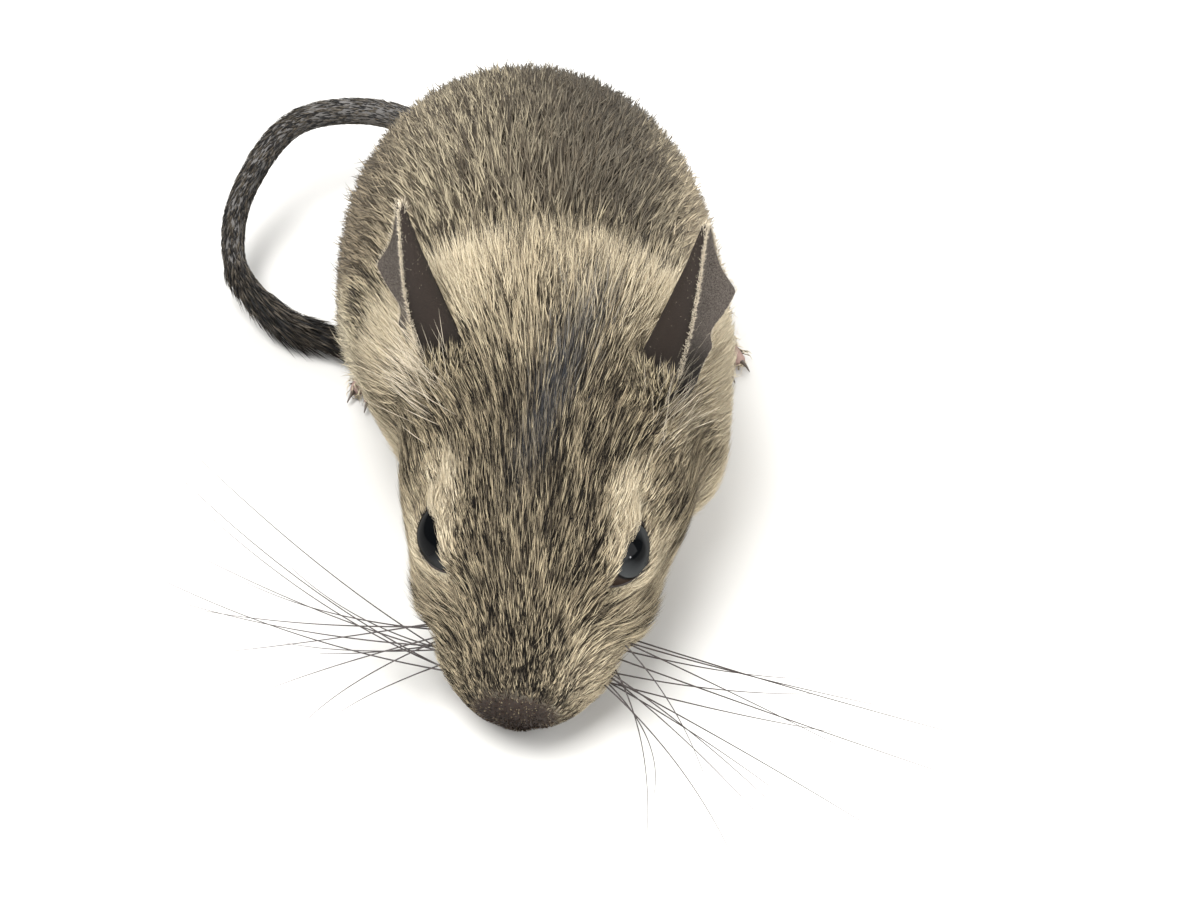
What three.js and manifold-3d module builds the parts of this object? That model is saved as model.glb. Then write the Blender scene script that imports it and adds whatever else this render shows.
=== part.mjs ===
// A young degu at life size, crouching with its head lowered and its tail curled to its right.
// Millimetres. The animal faces -Y, +Z is up and +X is its left side. It rests on z = 0.
// The soft body is a blend of rounded forms, cut into head, neck, torso and legs.

import * as THREE from 'three';
import { mergeVertices } from 'three/addons/utils/BufferGeometryUtils.js';
import Module from 'manifold-3d';

const wasm = await Module();
wasm.setup();

// Driving dimensions

const gap = 0.3; // clearance between neighbouring pieces
const sides = [{ name: 'left', sign: 1 }, { name: 'right', sign: -1 }];

// The head's own frame: origin at the crown between the ears, x to its left, y backwards, z out of the crown
const head = { crownHeight: 34.5, pitch: 40, yaw: -5.2, roll: -5 };

const headForms = {
  braincase: { at: [0, -4, -9.2], size: [12, 13, 9.6] },
  forehead: { at: [0, -15.5, -8.7], size: [10.8, 14.5, 9.1] },
  brow: { at: [6.8, -18.6, -5.7], size: [5.1, 7.6, 5], pair: true },
  muzzle: { at: [0, -27, -9], size: [8.6, 10.2, 7.4] },
  noseTip: { at: [0, -33.8, -7.6], size: [4.8, 3.8, 4.6] },
  lipPad: { at: [4.3, -30.2, -10.4], size: [5, 5.8, 5.2], pair: true },
  cheek: { at: [8.6, -11, -11.8], size: [7.3, 10.4, 7.8], pair: true },
  underEye: { at: [8.1, -18.5, -10.4], size: [5.3, 8.2, 5.2], pair: true },
  lowerJaw: { at: [0, -23.5, -14.6], size: [5.6, 9.4, 4.6] },
  throat: { at: [0, -10, -15.5], size: [9.4, 12, 7.6] },
};
const headBlend = 3;

// The body's frame: origin on the floor under the crown
const bodyForms = {
  rump: { at: [-3.8, 38, 20.3], size: [21.8, 21.5, 21.8] },
  back: { at: [-3, 25, 22], size: [22.6, 24, 24] },
  shoulders: { at: [1.2, 14, 22], size: [19.8, 14, 19.5] },
  nape: { at: [0.4, 13.5, 28], size: [13.5, 12.5, 12.8] },
  chest: { at: [0.6, 15, 12], size: [14, 11, 12] },
};
const bodyBlend = 6;
const neckBlend = 4;

// The opening between the lids is as long as it is from one corner to the other, seen from outside
const eye = { radius: 4.2, at: [7.6, -18.2, -5.2], lidThickness: 0.5 };
const eyeOpening = { halfLength: 4.3, halfHeight: 2.35, reach: 4.5, aside: 57, forward: 11.5, turnIn: 33 };

const mouth = { width: 0.7, lipRadius: 0.75 };
const mouthLine = [[6.4, -25.5, -14.4], [4.6, -30.6, -14.2], [2, -34, -13.2], [0, -34.8, -12.6]];
const lipCleft = [[0, -38, -9.4], [0, -36.8, -11], [0, -35, -12.6]];
const nostril = { at: [1.6, -37.4, -7.2], size: [0.55, 1.5, 0.95], tilt: 35 };

// Each pair is a share of the way up the front rim and a width there: from the rim in to the fold,
// and from the rim out to the pointed lobe behind it. The base runs on into the head and tucks in.
const ear = {
  root: [13.4, 0, -3], tip: [15.3, 13.5, 7.5], base: -0.35, tuck: 3, cupDepth: 4.4, thickness: 0.8,
  inner: [[0, 4.2], [0.13, 4.2], [0.23, 3.8], [0.4, 3.1], [0.6, 2.2], [0.75, 1.45], [0.9, 0.8], [1, 0.3]],
  outer: [[0, 2], [0.1, 2.2], [0.18, 2.5], [0.26, 2.1], [0.38, 2.9], [0.58, 3.7], [0.66, 2.6], [0.8, 1.2],
    [1, 0.3]],
};

const whisker = { radius: 0.28, tipRadius: 0.1, bow: 5, lowest: 1.2 };
const whiskerPad = { at: [6.9, -30.4, -9.6], size: [3.4, 4.6, 3.6] };

const tailPath = [[-6.5, 52, 12], [-14, 68, 12.5], [-26, 76.5, 13.5], [-38, 74, 13.5], [-44.2, 62.5, 10],
  [-44.5, 52.5, 5.6], [-39, 45, 3.2], [-31.5, 40, 2.9]];
const tail = { rootRadius: 2.5, endRadius: 1.5, tuftStart: 0.84, tuftRadius: 1.9, step: 3, stations: 200 };
const lock = { count: 18, length: [3.6, 5.6], radius: 0.55, tipRadius: 0.14, flare: 0.3, sink: 0.7 };

// Everything below is worked out from the sizes above

const degrees = THREE.MathUtils.degToRad;
const vector = (numbers) => new THREE.Vector3(...numbers);
const mirrored = (numbers, sign) => [numbers[0] * sign, numbers[1], numbers[2]];

const bodyFrame = new THREE.Matrix4();
const headFrame = new THREE.Matrix4()
  .makeRotationFromEuler(new THREE.Euler(degrees(head.pitch), degrees(head.roll), degrees(head.yaw), 'XZY'))
  .setPosition(0, 0, head.crownHeight);
const inHead = (numbers) => vector(numbers).applyMatrix4(headFrame);

let seed = 20261;
function random() {
  seed = (seed * 16807) % 2147483647;
  return seed / 2147483647;
}

// Distance fields

function ellipsoid(frame, at, size) {
  const toForm = frame.clone().multiply(new THREE.Matrix4().makeTranslation(...at)).invert();
  const p = new THREE.Vector3();
  return (point) => {
    p.copy(point).applyMatrix4(toForm);
    const nearness = Math.hypot(p.x / size[0], p.y / size[1], p.z / size[2]);
    const slope = Math.hypot(p.x / size[0] ** 2, p.y / size[1] ** 2, p.z / size[2] ** 2);
    return slope < 1e-9 ? -Math.min(...size) : nearness * (nearness - 1) / slope;
  };
}

function fieldsOf(forms, frame) {
  return Object.values(forms).flatMap(({ at, size, pair }) => {
    const signs = pair ? [1, -1] : [1];
    return signs.map((sign) => ellipsoid(frame, mirrored(at, sign), size));
  });
}

function smoothUnion(a, b, blend) {
  const h = Math.max(blend - Math.abs(a - b), 0) / blend;
  return Math.min(a, b) - h * h * blend / 4;
}

function blended(fields, blend) {
  return (point) => fields.reduce((sum, field) => smoothUnion(sum, field(point), blend), 1e3);
}

const headField = blended(fieldsOf(headForms, headFrame), headBlend);
const bodyField = blended(fieldsOf(bodyForms, bodyFrame), bodyBlend);
const coatField = (point) => smoothUnion(headField(point), bodyField(point), neckBlend);

// Closed meshes and solids

function solidOf(geometry) {
  const bare = geometry.clone();
  bare.deleteAttribute('normal');
  bare.deleteAttribute('uv');
  const merged = mergeVertices(bare, 1e-4);
  const solid = new wasm.Manifold(new wasm.Mesh({
    numProp: 3,
    vertProperties: new Float32Array(merged.attributes.position.array),
    triVerts: new Uint32Array(merged.index.array),
  }));
  return solid;
}

function geometryOf(solid) {
  const { vertProperties, triVerts } = solid.getMesh();
  const geometry = new THREE.BufferGeometry();
  geometry.setAttribute('position', new THREE.BufferAttribute(vertProperties, 3));
  geometry.setIndex(new THREE.BufferAttribute(triVerts, 1));
  return geometry;
}

function largest(solid) {
  return solid.decompose().sort((a, b) => b.volume() - a.volume())[0];
}

function moved(geometry, place) {
  const position = geometry.attributes.position;
  const point = new THREE.Vector3();
  for (let i = 0; i < position.count; i += 1) {
    point.fromBufferAttribute(position, i);
    place(point);
    position.setXYZ(i, point.x, point.y, point.z);
  }
  return geometry;
}

// A capsule from one point to another, with each vertex drawn out along its ray to the field's surface
function draped(field, from, to, { around, along, cap, reach, grow = 0 }) {
  const axis = to.clone().sub(from);
  const length = axis.length();
  const y = axis.clone().normalize();
  const x = y.clone().cross(new THREE.Vector3(0, 0, 1)).normalize();
  const z = x.clone().cross(y);
  const geometry = new THREE.CapsuleGeometry(1, length, cap, around, along);
  return moved(geometry, (point) => {
    const height = THREE.MathUtils.clamp(point.y, -length / 2, length / 2);
    const ray = new THREE.Vector3()
      .addScaledVector(x, point.x)
      .addScaledVector(y, point.y - height)
      .addScaledVector(z, point.z)
      .normalize();
    const start = from.clone().addScaledVector(y, height + length / 2);
    point.copy(start).addScaledVector(ray, surfaceDistance(field, start, ray, reach) + grow);
  });
}

function surfaceDistance(field, start, ray, reach) {
  const at = (distance) => field(start.clone().addScaledVector(ray, distance));
  let inside = 0;
  let outside = 0.2;
  while (at(outside) < 0 && outside < reach) {
    inside = outside;
    outside += 0.5;
  }
  for (let step = 0; step < 18; step += 1) {
    const middle = (inside + outside) / 2;
    if (at(middle) < 0) inside = middle;
    else outside = middle;
  }
  return Math.min(inside, reach);
}

const through = (points) => new THREE.CatmullRomCurve3(points);

// A round bar along a curve, its radius a function of the way along
function bar(curve, radiusAt, { around = 8, steps = 12, cap = 2 } = {}) {
  const frames = curve.computeFrenetFrames(steps, false);
  const geometry = new THREE.CapsuleGeometry(1, steps, cap, around, steps);
  return moved(geometry, (point) => {
    const height = THREE.MathUtils.clamp(point.y, -steps / 2, steps / 2);
    const station = Math.round(height + steps / 2);
    const radius = radiusAt(station / steps);
    const [x, beyond, z] = [point.x, point.y - height, point.z];
    point.copy(curve.getPointAt(station / steps))
      .addScaledVector(frames.binormals[station], radius * x)
      .addScaledVector(frames.tangents[station], radius * beyond)
      .addScaledVector(frames.normals[station], radius * z);
  });
}

function ball(frame, at, size, turn = new THREE.Euler(), detail = [20, 14]) {
  const rotation = new THREE.Quaternion().setFromEuler(turn);
  const place = new THREE.Matrix4().compose(vector(at), rotation, vector(size));
  return new THREE.SphereGeometry(1, ...detail).applyMatrix4(place).applyMatrix4(frame);
}

function halfSpace(solid, normal, through, side) {
  const n = normal.clone().normalize().multiplyScalar(side);
  return solid.trimByPlane(n.toArray(), n.dot(through) + gap / 2);
}

// Torso, neck and head

const neckFront = { through: inHead([0, 6, 0]), normal: new THREE.Vector3(0, 1, -0.15) };
const neckRear = { through: new THREE.Vector3(0, 17.5, 42), normal: new THREE.Vector3(0, 1, -0.28) };
const headDetail = { around: 28, along: 15, cap: 7, reach: 24 };
const floorLevel = (solid) => solid.trimByPlane([0, 0, 1], 0);

function headSolid() {
  const solid = solidOf(draped(coatField, inHead([0, -31, -8.4]), inHead([0, 3, -10]),
    headDetail));
  return halfSpace(solid, neckFront.normal, neckFront.through, -1);
}

function neckSolid() {
  const solid = solidOf(draped(coatField, new THREE.Vector3(0.4, 4, 24), new THREE.Vector3(0, 16, 24),
    { around: 26, along: 5, cap: 5, reach: 30 }));
  const behindHead = halfSpace(solid, neckFront.normal, neckFront.through, 1);
  return floorLevel(halfSpace(behindHead, neckRear.normal, neckRear.through, -1));
}

function torsoSolid() {
  const solid = solidOf(draped(coatField, new THREE.Vector3(-1, 12, 20), new THREE.Vector3(-3.8, 38, 20.3),
    { around: 26, along: 6, cap: 7, reach: 34 }));
  const behindHead = halfSpace(solid, neckFront.normal, neckFront.through, 1);
  return floorLevel(halfSpace(behindHead, neckRear.normal, neckRear.through, 1));
}

// Eyes and lids

function eyeBall(sign, grow, detail) {
  const radius = eye.radius + grow;
  return ball(headFrame, mirrored(eye.at, sign), [radius, radius, radius], undefined, detail);
}

function openingCutter(sign) {
  const aside = degrees(eyeOpening.aside);
  const forward = degrees(eyeOpening.forward);
  const turnIn = degrees(eyeOpening.turnIn);
  const look = new THREE.Vector3(sign * Math.sin(aside) * Math.cos(forward), -Math.sin(forward),
    Math.cos(aside) * Math.cos(forward));
  const ahead = new THREE.Vector3(-sign * Math.sin(turnIn), -Math.cos(turnIn), 0);
  ahead.addScaledVector(look, -ahead.dot(look)).normalize();
  const centre = vector(mirrored(eye.at, sign)).addScaledVector(look, eye.radius);
  const size = [eyeOpening.halfHeight, eyeOpening.halfLength, eyeOpening.reach];
  const place = new THREE.Matrix4()
    .makeBasis(ahead.clone().cross(look), ahead, look)
    .setPosition(centre);
  return new THREE.SphereGeometry(1, 14, 8)
    .applyMatrix4(new THREE.Matrix4().makeScale(...size))
    .applyMatrix4(place)
    .applyMatrix4(headFrame);
}

function withEyeSockets(solid) {
  return sides.reduce((result, { sign }) => {
    const lidBall = solidOf(eyeBall(sign, gap + eye.lidThickness, [16, 10]));
    const opened = result.add(lidBall).subtract(solidOf(openingCutter(sign)));
    return opened.subtract(solidOf(eyeBall(sign, gap, [16, 10])));
  }, solid);
}

// Mouth, lips and nostrils

function onHeadSurface(numbers, lift) {
  const start = inHead([0, numbers[1] + 4, -9]);
  const ray = inHead(numbers).sub(start).normalize();
  return start.addScaledVector(ray, surfaceDistance(coatField, start, ray, 30) + lift);
}

function mouthCurve(lift, drop) {
  const half = mouthLine.map(([x, y, z]) => [x, y, z - drop]);
  const other = half.slice(0, -1).reverse().map((point) => mirrored(point, -1));
  return through([...half, ...other].map((point) => onHeadSurface(point, lift)));
}

function withMouth(solid) {
  const lowerLip = solidOf(bar(mouthCurve(-0.35, 1), () => mouth.lipRadius, { around: 6, steps: 12 }));
  const line = solidOf(bar(mouthCurve(0.05, 0), () => mouth.width / 2, { around: 5, steps: 14 }));
  const cleftPoints = lipCleft.map((point) => onHeadSurface(point, 0.05));
  const cleft = solidOf(bar(through(cleftPoints), () => mouth.width / 2, { around: 5, steps: 4 }));
  return solid.add(lowerLip).subtract(line.add(cleft));
}

function withNostrils(solid) {
  return sides.reduce((result, { sign }) => {
    const at = onHeadSurface(mirrored(nostril.at, sign), 0);
    const turn = new THREE.Euler(0, sign * degrees(nostril.tilt), 0);
    const local = at.applyMatrix4(headFrame.clone().invert()).toArray();
    return result.subtract(solidOf(ball(headFrame, local, nostril.size, turn, [10, 8])));
  }, solid);
}

// Ears: a thin plate bent into a cup that opens to the side, with a pointed lobe behind

function widthAt(table, u) {
  const next = table.findIndex(([place]) => place >= u);
  if (next <= 0) return next === 0 ? table[0][1] : table[table.length - 1][1];
  const [[u0, w0], [u1, w1]] = [table[next - 1], table[next]];
  return THREE.MathUtils.mapLinear(u, u0, u1, w0, w1);
}

function earPlate(sign) {
  const root = inHead(mirrored(ear.root, sign));
  const tip = inHead(mirrored(ear.tip, sign));
  const axis = tip.clone().sub(root).normalize();
  const aside = inHead([sign, 0, 0]).sub(inHead([0, 0, 0]));
  const lateral = aside.addScaledVector(axis, -aside.dot(axis)).normalize();
  const forward = lateral.clone().cross(axis).multiplyScalar(sign);
  const shape = (u, v) => {
    const inner = widthAt(ear.inner, u);
    const outer = widthAt(ear.outer, u);
    const taper = Math.sqrt(Math.max(0, 1 - Math.max(0, u) ** 4));
    const depth = ear.cupDepth * (0.5 + 0.5 * Math.sin(Math.PI * Math.min(1, Math.max(0, u) * 1.15))) * taper;
    const tucked = ear.tuck * (Math.min(0, u) / ear.base) ** 2;
    const bend = Math.abs(v) ** 1.6;
    const across = -inner + (v < 0 ? inner : inner + outer) * bend - tucked;
    return new THREE.Vector3()
      .lerpVectors(root, tip, u)
      .addScaledVector(lateral, across)
      .addScaledVector(forward, -Math.sin(v * Math.PI / 2) * depth / 2);
  };
  const geometry = new THREE.BoxGeometry(1, 1, 1, 10, 12, 1);
  return moved(geometry, (point) => {
    const u = THREE.MathUtils.lerp(ear.base, 0.995, THREE.MathUtils.clamp(point.y + 0.5, 0, 1));
    const v = point.x * 2;
    const step = 0.02;
    const alongV = shape(u, Math.min(1, v + step)).sub(shape(u, Math.max(-1, v - step)));
    const alongU = shape(Math.min(0.999, u + step), v).sub(shape(u - step, v));
    const outward = alongV.cross(alongU).normalize();
    const depth = point.z * ear.thickness * (1 - 0.4 * Math.max(0, u));
    point.copy(shape(u, v)).addScaledVector(outward, depth);
  });
}

// Limbs

const hindLegs = {
  left: {
    hip: [9.5, 43, 14], knee: [15, 33, 11], heel: [12, 55.5, 2.6], sole: [18.6, 42, 2.3], turn: 18,
  },
  right: {
    hip: [-17, 41, 14], knee: [-20.8, 30, 11], heel: [-16.5, 51, 2.6], sole: [-22, 37, 2.3], turn: -9,
  },
};
const foreLegs = {
  left: {
    shoulder: [12.4, 7.5, 15.5], arm: [7.8, 9.6, 9.8], elbow: [12.5, 14, 9], wrist: [8.8, 11.5, 3], turn: -4,
  },
  right: {
    shoulder: [-11.2, 11.5, 14.5], arm: [6.8, 9, 9], elbow: [-12.5, 14, 9], wrist: [-10, 10, 3], turn: 6,
  },
};
const hindFoot = { radius: 2.7, toeLength: 7.2, toeRadius: 1.15, toes: 4, spread: 30, claw: 1.9 };
const foreFoot = { radius: 2.2, toeLength: 5, toeRadius: 0.95, toes: 4, spread: 44, claw: 1.5 };

// Toes fan out from the ball of a foot, arch over and end in tapering claws
function toesFrom(sole, foot, turn, grow) {
  return Array.from({ length: foot.toes }, (_, index) => {
    const place = foot.toes > 1 ? index / (foot.toes - 1) - 0.5 : 0;
    const angle = degrees(turn + place * foot.spread);
    const long = foot.toeLength * (1 - 0.5 * place * place);
    const dir = new THREE.Vector3(Math.sin(angle), -Math.cos(angle), 0);
    const across = new THREE.Vector3(Math.cos(angle), Math.sin(angle), 0);
    const start = vector(sole).addScaledVector(across, place * foot.radius * 1.5);
    const lie = foot.toeRadius * 0.6;
    const point = (reach, height) => start.clone().addScaledVector(dir, reach).setZ(height);
    const end = long + foot.claw;
    const points = [point(0, lie + 0.7), point(long * 0.45, lie + 0.8), point(long, lie),
      point(long + foot.claw * 0.6, lie * 0.9), point(end, 0.25)];
    const fleshEnd = long / end;
    const radiusAt = (t) => (t < fleshEnd
      ? foot.toeRadius * (1 - 0.18 * t)
      : foot.toeRadius * 0.5 * (1 - t) / (1 - fleshEnd) + 0.12) + grow;
    return solidOf(bar(through(points), radiusAt, { around: 6, steps: 6, cap: 1 }));
  });
}

function join(solids) {
  return solids.reduce((sum, solid) => sum.add(solid));
}

function hindLegSolid(leg, grow) {
  const limb = blended([
    ellipsoid(bodyFrame, leg.hip.map((n, i) => (n + leg.knee[i]) / 2), [7.6, 12, 10.5]),
    ellipsoid(bodyFrame, [leg.knee[0], leg.knee[1] + 3, leg.knee[2] - 2], [5, 8.4, 8]),
    ellipsoid(bodyFrame, leg.heel.map((n, i) => n * 0.62 + leg.knee[i] * 0.38), [4.6, 10, 4.6]),
  ], 4);
  const detail = { around: 14, along: 3, cap: 4, reach: 30, grow };
  const thigh = draped(limb, vector(leg.knee), vector(leg.hip), detail);
  const footPoints = [vector(leg.heel), vector(leg.heel).lerp(vector(leg.sole), 0.5), vector(leg.sole)];
  const radiusAt = (t) => hindFoot.radius * (0.85 + 0.25 * t) + grow;
  const foot = bar(through(footPoints), radiusAt, { around: 10, steps: 4, cap: 2 });
  const toes = toesFrom(leg.sole, hindFoot, leg.turn, grow);
  return join([solidOf(thigh), solidOf(foot), ...toes]);
}

function foreLegSolid(leg, grow) {
  const shoulder = ball(bodyFrame, leg.shoulder, leg.arm.map((n) => n + grow), undefined, [16, 10]);
  const armPoints = [vector(leg.elbow), vector(leg.elbow).lerp(vector(leg.wrist), 0.5), vector(leg.wrist)];
  const arm = bar(through(armPoints), (t) => 4.3 - 1.9 * t + grow, { around: 10, steps: 3, cap: 2 });
  const palm = palmOf(leg);
  const hand = bar(through([vector(leg.wrist), vector(leg.wrist).lerp(palm, 0.5), palm]),
    () => foreFoot.radius + grow, { around: 10, steps: 2, cap: 2 });
  const toes = toesFrom(palm.toArray(), foreFoot, leg.turn, grow);
  return join([solidOf(shoulder), solidOf(arm), solidOf(hand), ...toes]);
}

const palmOf = ({ wrist }) => new THREE.Vector3(wrist[0], wrist[1] - 3.2, 1.8);

function legPieces() {
  return sides.flatMap(({ name }) => {
    const hind = hindLegs[name];
    const fore = foreLegs[name];
    return [
      { name: `hind_leg_${name}`, solid: (grow) => hindLegSolid(hind, grow) },
      { name: `foreleg_${name}`, solid: (grow) => foreLegSolid(fore, grow) },
    ];
  });
}

// Tail

const tailCurve = new THREE.CatmullRomCurve3(tailPath.map(vector));
const tailLengths = [
  { name: 'tail_root', from: 0, to: 0.3 },
  { name: 'tail_middle', from: 0.3, to: 0.6 },
  { name: 'tail_end', from: 0.6, to: tail.tuftStart },
];
const tailRadius = (t) => THREE.MathUtils.lerp(tail.rootRadius, tail.endRadius, t);

function tailStretch(from, to, radiusAt) {
  const length = tailCurve.getLength();
  const inset = gap / 2 / length;
  const first = from === 0 ? 0 : from + inset;
  const last = to - inset;
  const steps = Math.round((to - from) * length / tail.step);
  const frames = tailCurve.computeFrenetFrames(tail.stations, false);
  const geometry = new THREE.CylinderGeometry(1, 1, 1, 10, steps);
  return moved(geometry, (point) => {
    const t = THREE.MathUtils.lerp(first, last, point.y + 0.5);
    const station = Math.round(t * tail.stations);
    const radius = radiusAt(t);
    const { x, z } = point;
    point.copy(tailCurve.getPointAt(t))
      .addScaledVector(frames.binormals[station], radius * x)
      .addScaledVector(frames.normals[station], radius * z);
  });
}

// The brush swells past the bare tail and tapers, with bristly locks sunk into it all round
function tuftRadius(t) {
  const s = (t - tail.tuftStart) / (1 - tail.tuftStart);
  return THREE.MathUtils.lerp(tail.endRadius, tail.tuftRadius, Math.min(1, s * 3)) * Math.sqrt(1.02 - s * s);
}

function tuftLocks() {
  const frames = tailCurve.computeFrenetFrames(tail.stations, false);
  return Array.from({ length: lock.count }, (_, index) => {
    const share = (index + 0.5) / lock.count;
    const t = THREE.MathUtils.lerp(tail.tuftStart + 0.03, 0.985, share);
    const station = Math.round(t * tail.stations);
    const angle = index * 2.4 + random() * 0.6;
    const out = frames.binormals[station].clone().multiplyScalar(Math.cos(angle))
      .addScaledVector(frames.normals[station], Math.sin(angle));
    const ahead = frames.tangents[station];
    const root = tailCurve.getPointAt(t).addScaledVector(out, tuftRadius(t) * (1 - lock.sink));
    const long = THREE.MathUtils.lerp(...lock.length, random());
    const flare = long * lock.flare;
    const middle = root.clone().addScaledVector(ahead, long * 0.5).addScaledVector(out, flare * 0.7);
    const tip = root.clone().addScaledVector(ahead, long).addScaledVector(out, flare * 0.85);
    tip.z = Math.max(tip.z, lock.radius);
    const radiusAt = (s) => THREE.MathUtils.lerp(lock.radius, lock.tipRadius, s * s);
    return solidOf(bar(through([root, middle, tip]), radiusAt, { around: 5, steps: 4, cap: 1 }));
  });
}

// Whiskers: a fan of tapering hairs on each lip pad

const whiskerFans = {
  left: { reach: [[26, 1.5, -6.5], [35, -12, -6.5], [4, -20, -6.5]], count: 8 },
  right: { reach: [[-31, 27, 5], [-31, 8, 0], [-13, -9, -3]], count: 7 },
};

function whiskerPadSolid(sign, grow) {
  return solidOf(ball(headFrame, mirrored(whiskerPad.at, sign), whiskerPad.size.map((n) => n + grow),
    undefined, [16, 10]));
}

function whiskersOf(name, sign) {
  const { reach, count } = whiskerFans[name];
  const fan = through(reach.map(vector));
  const outward = inHead([sign, -0.3, 0]).sub(inHead([0, 0, 0]));
  return Array.from({ length: count }, (_, index) => {
    const t = index / (count - 1);
    const row = index % 2 === 0 ? 1 : -1;
    const along = whiskerPad.size[1] * (0.4 - 0.8 * t);
    const root = onHeadSurface([sign * 9, whiskerPad.at[1] + along, whiskerPad.at[2] + row * 0.9], 0);
    const inner = root.clone().lerp(inHead(mirrored(whiskerPad.at, sign)), 0.35);
    const tip = root.clone().addScaledVector(fan.getPoint(t), 0.85 + 0.25 * random());
    tip.z = Math.max(tip.z, whisker.lowest);
    const middle = root.clone().lerp(tip, 0.3).addScaledVector(outward, whisker.bow);
    const curve = new THREE.QuadraticBezierCurve3(inner, middle, tip);
    const radiusAt = (s) => THREE.MathUtils.lerp(whisker.radius, whisker.tipRadius, s);
    return solidOf(bar(curve, radiusAt, { around: 4, steps: 6, cap: 1 }));
  });
}

// Assembly

const colours = {
  coat: 0x9a8a6c, skin: 0x3c3430, eye: 0x0c0e12, foot: 0x6f6258, tail: 0x4a4844, whisker: 0x2a2420,
};

const degu = new THREE.Group();

function addPiece(name, solid, colour, roughness = 0.85) {
  const material = new THREE.MeshStandardMaterial({ color: colour, roughness, metalness: 0 });
  const mesh = new THREE.Mesh(geometryOf(largest(solid)), material);
  mesh.name = name;
  degu.add(mesh);
}

const legs = legPieces();
const pads = sides.map(({ name, sign }) => ({ name, sign, cutter: whiskerPadSolid(sign, gap) }));

const face = withNostrils(withMouth(withEyeSockets(headSolid())));
const legCutter = join(legs.map((leg) => leg.solid(gap)));
const padCutter = join(pads.map((pad) => pad.cutter));
addPiece('head', face.subtract(padCutter).subtract(legCutter), colours.coat);
const tailCutter = solidOf(tailStretch(0, 0.3, (t) => tailRadius(t) + gap));
addPiece('neck', neckSolid().subtract(legCutter), colours.coat);
addPiece('torso', torsoSolid().subtract(legCutter).subtract(tailCutter), colours.coat);

for (const { name, sign } of sides) {
  const headCutter = solidOf(draped(coatField, inHead([0, -31, -8.4]), inHead([0, 3, -10]),
    { ...headDetail, grow: gap }));
  addPiece(`ear_${name}`, solidOf(earPlate(sign)).subtract(headCutter), colours.skin, 0.7);
  addPiece(`eye_${name}`, solidOf(eyeBall(sign, 0, [16, 10])), colours.eye, 0.08);
}

for (const { name, sign } of pads) {
  const hairs = whiskersOf(name, sign);
  addPiece(`whisker_pad_${name}`, join([whiskerPadSolid(sign, 0), ...hairs]), colours.whisker);
}

for (const leg of legs) {
  addPiece(leg.name, floorLevel(leg.solid(0)), colours.foot);
}

for (const { name, from, to } of tailLengths) {
  addPiece(name, solidOf(tailStretch(from, to, tailRadius)), colours.tail);
}
const tuftCore = solidOf(tailStretch(tail.tuftStart, 1, tuftRadius));
addPiece('tail_tuft', join([tuftCore, ...tuftLocks()]), colours.tail);

// The origin is the middle of the whole animal's box, on the floor
const box = new THREE.Box3().setFromObject(degu);
const middle = box.getCenter(new THREE.Vector3());
degu.position.set(-middle.x, -middle.y, -box.min.z);

export default degu;
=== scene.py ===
# A young degu, life size, crouched with its head lowered and its tail curled to its right.
# Shapes are worked out in millimetres about a point on the floor under the crown, then moved
# into the frame. The animal faces -Y, +Z is up and +X is its left side.
import math

import bpy
import numpy as np
from mathutils import Matrix, Vector
from mathutils.kdtree import KDTree


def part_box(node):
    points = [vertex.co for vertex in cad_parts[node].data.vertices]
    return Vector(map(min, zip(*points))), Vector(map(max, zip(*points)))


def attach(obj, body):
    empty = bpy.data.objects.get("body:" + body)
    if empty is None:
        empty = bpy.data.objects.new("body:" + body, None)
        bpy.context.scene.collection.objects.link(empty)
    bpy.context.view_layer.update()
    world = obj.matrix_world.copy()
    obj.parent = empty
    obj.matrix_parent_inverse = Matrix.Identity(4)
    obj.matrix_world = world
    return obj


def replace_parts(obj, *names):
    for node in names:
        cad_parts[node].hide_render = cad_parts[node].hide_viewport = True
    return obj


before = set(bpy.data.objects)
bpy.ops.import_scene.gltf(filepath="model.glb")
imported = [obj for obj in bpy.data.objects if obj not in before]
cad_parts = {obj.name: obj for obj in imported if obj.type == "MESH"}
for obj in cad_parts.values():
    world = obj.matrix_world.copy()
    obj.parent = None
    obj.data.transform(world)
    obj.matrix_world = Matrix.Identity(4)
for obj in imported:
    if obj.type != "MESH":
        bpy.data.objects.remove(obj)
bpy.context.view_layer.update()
rng = np.random.default_rng(4021)
print("frame loaded")

# Frames

head = {"crownHeight": 34.5, "pitch": 40, "yaw": -5.2, "roll": -5}
eye = {"radius": 4.2, "at": (7.6, -18.2, -5.2), "rightOutset": 0.85}


def rotation(axis, angle):
    return np.array(Matrix.Rotation(math.radians(angle), 3, axis))


headTurn = rotation("X", head["pitch"]) @ rotation("Z", head["yaw"]) @ rotation("Y", head["roll"])
crown = np.array([0, 0, head["crownHeight"]])


def fromHead(points):
    return np.asarray(points, float) @ headTurn.T + crown


def toHead(points):
    return (np.asarray(points, float) - crown) @ headTurn


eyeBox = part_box("eye_left")
eyeMiddle = (np.array(eyeBox[0]) + np.array(eyeBox[1])) * 500  # mm
shift = eyeMiddle - fromHead(eye["at"])


def toFrame(points):
    return (np.asarray(points, float) + shift) / 1000


def unit(vectors):
    length = np.linalg.norm(vectors, axis=-1, keepdims=True)
    return vectors / np.maximum(length, 1e-9)


def ramp(low, high, value):
    t = np.clip((value - low) / (high - low), 0, 1)
    return t * t * (3 - 2 * t)


def between(low, high, share):
    return low + (high - low) * share


def mirrored(point, sign):
    return (point[0] * sign, point[1], point[2])


def eyeAt(sign):
    # The right side of the face is a little fuller than the left
    outset = eye["rightOutset"] if sign < 0 else 0
    return np.array(mirrored(eye["at"], sign)) + (sign * outset, 0, 0)


# Mesh helpers

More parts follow.
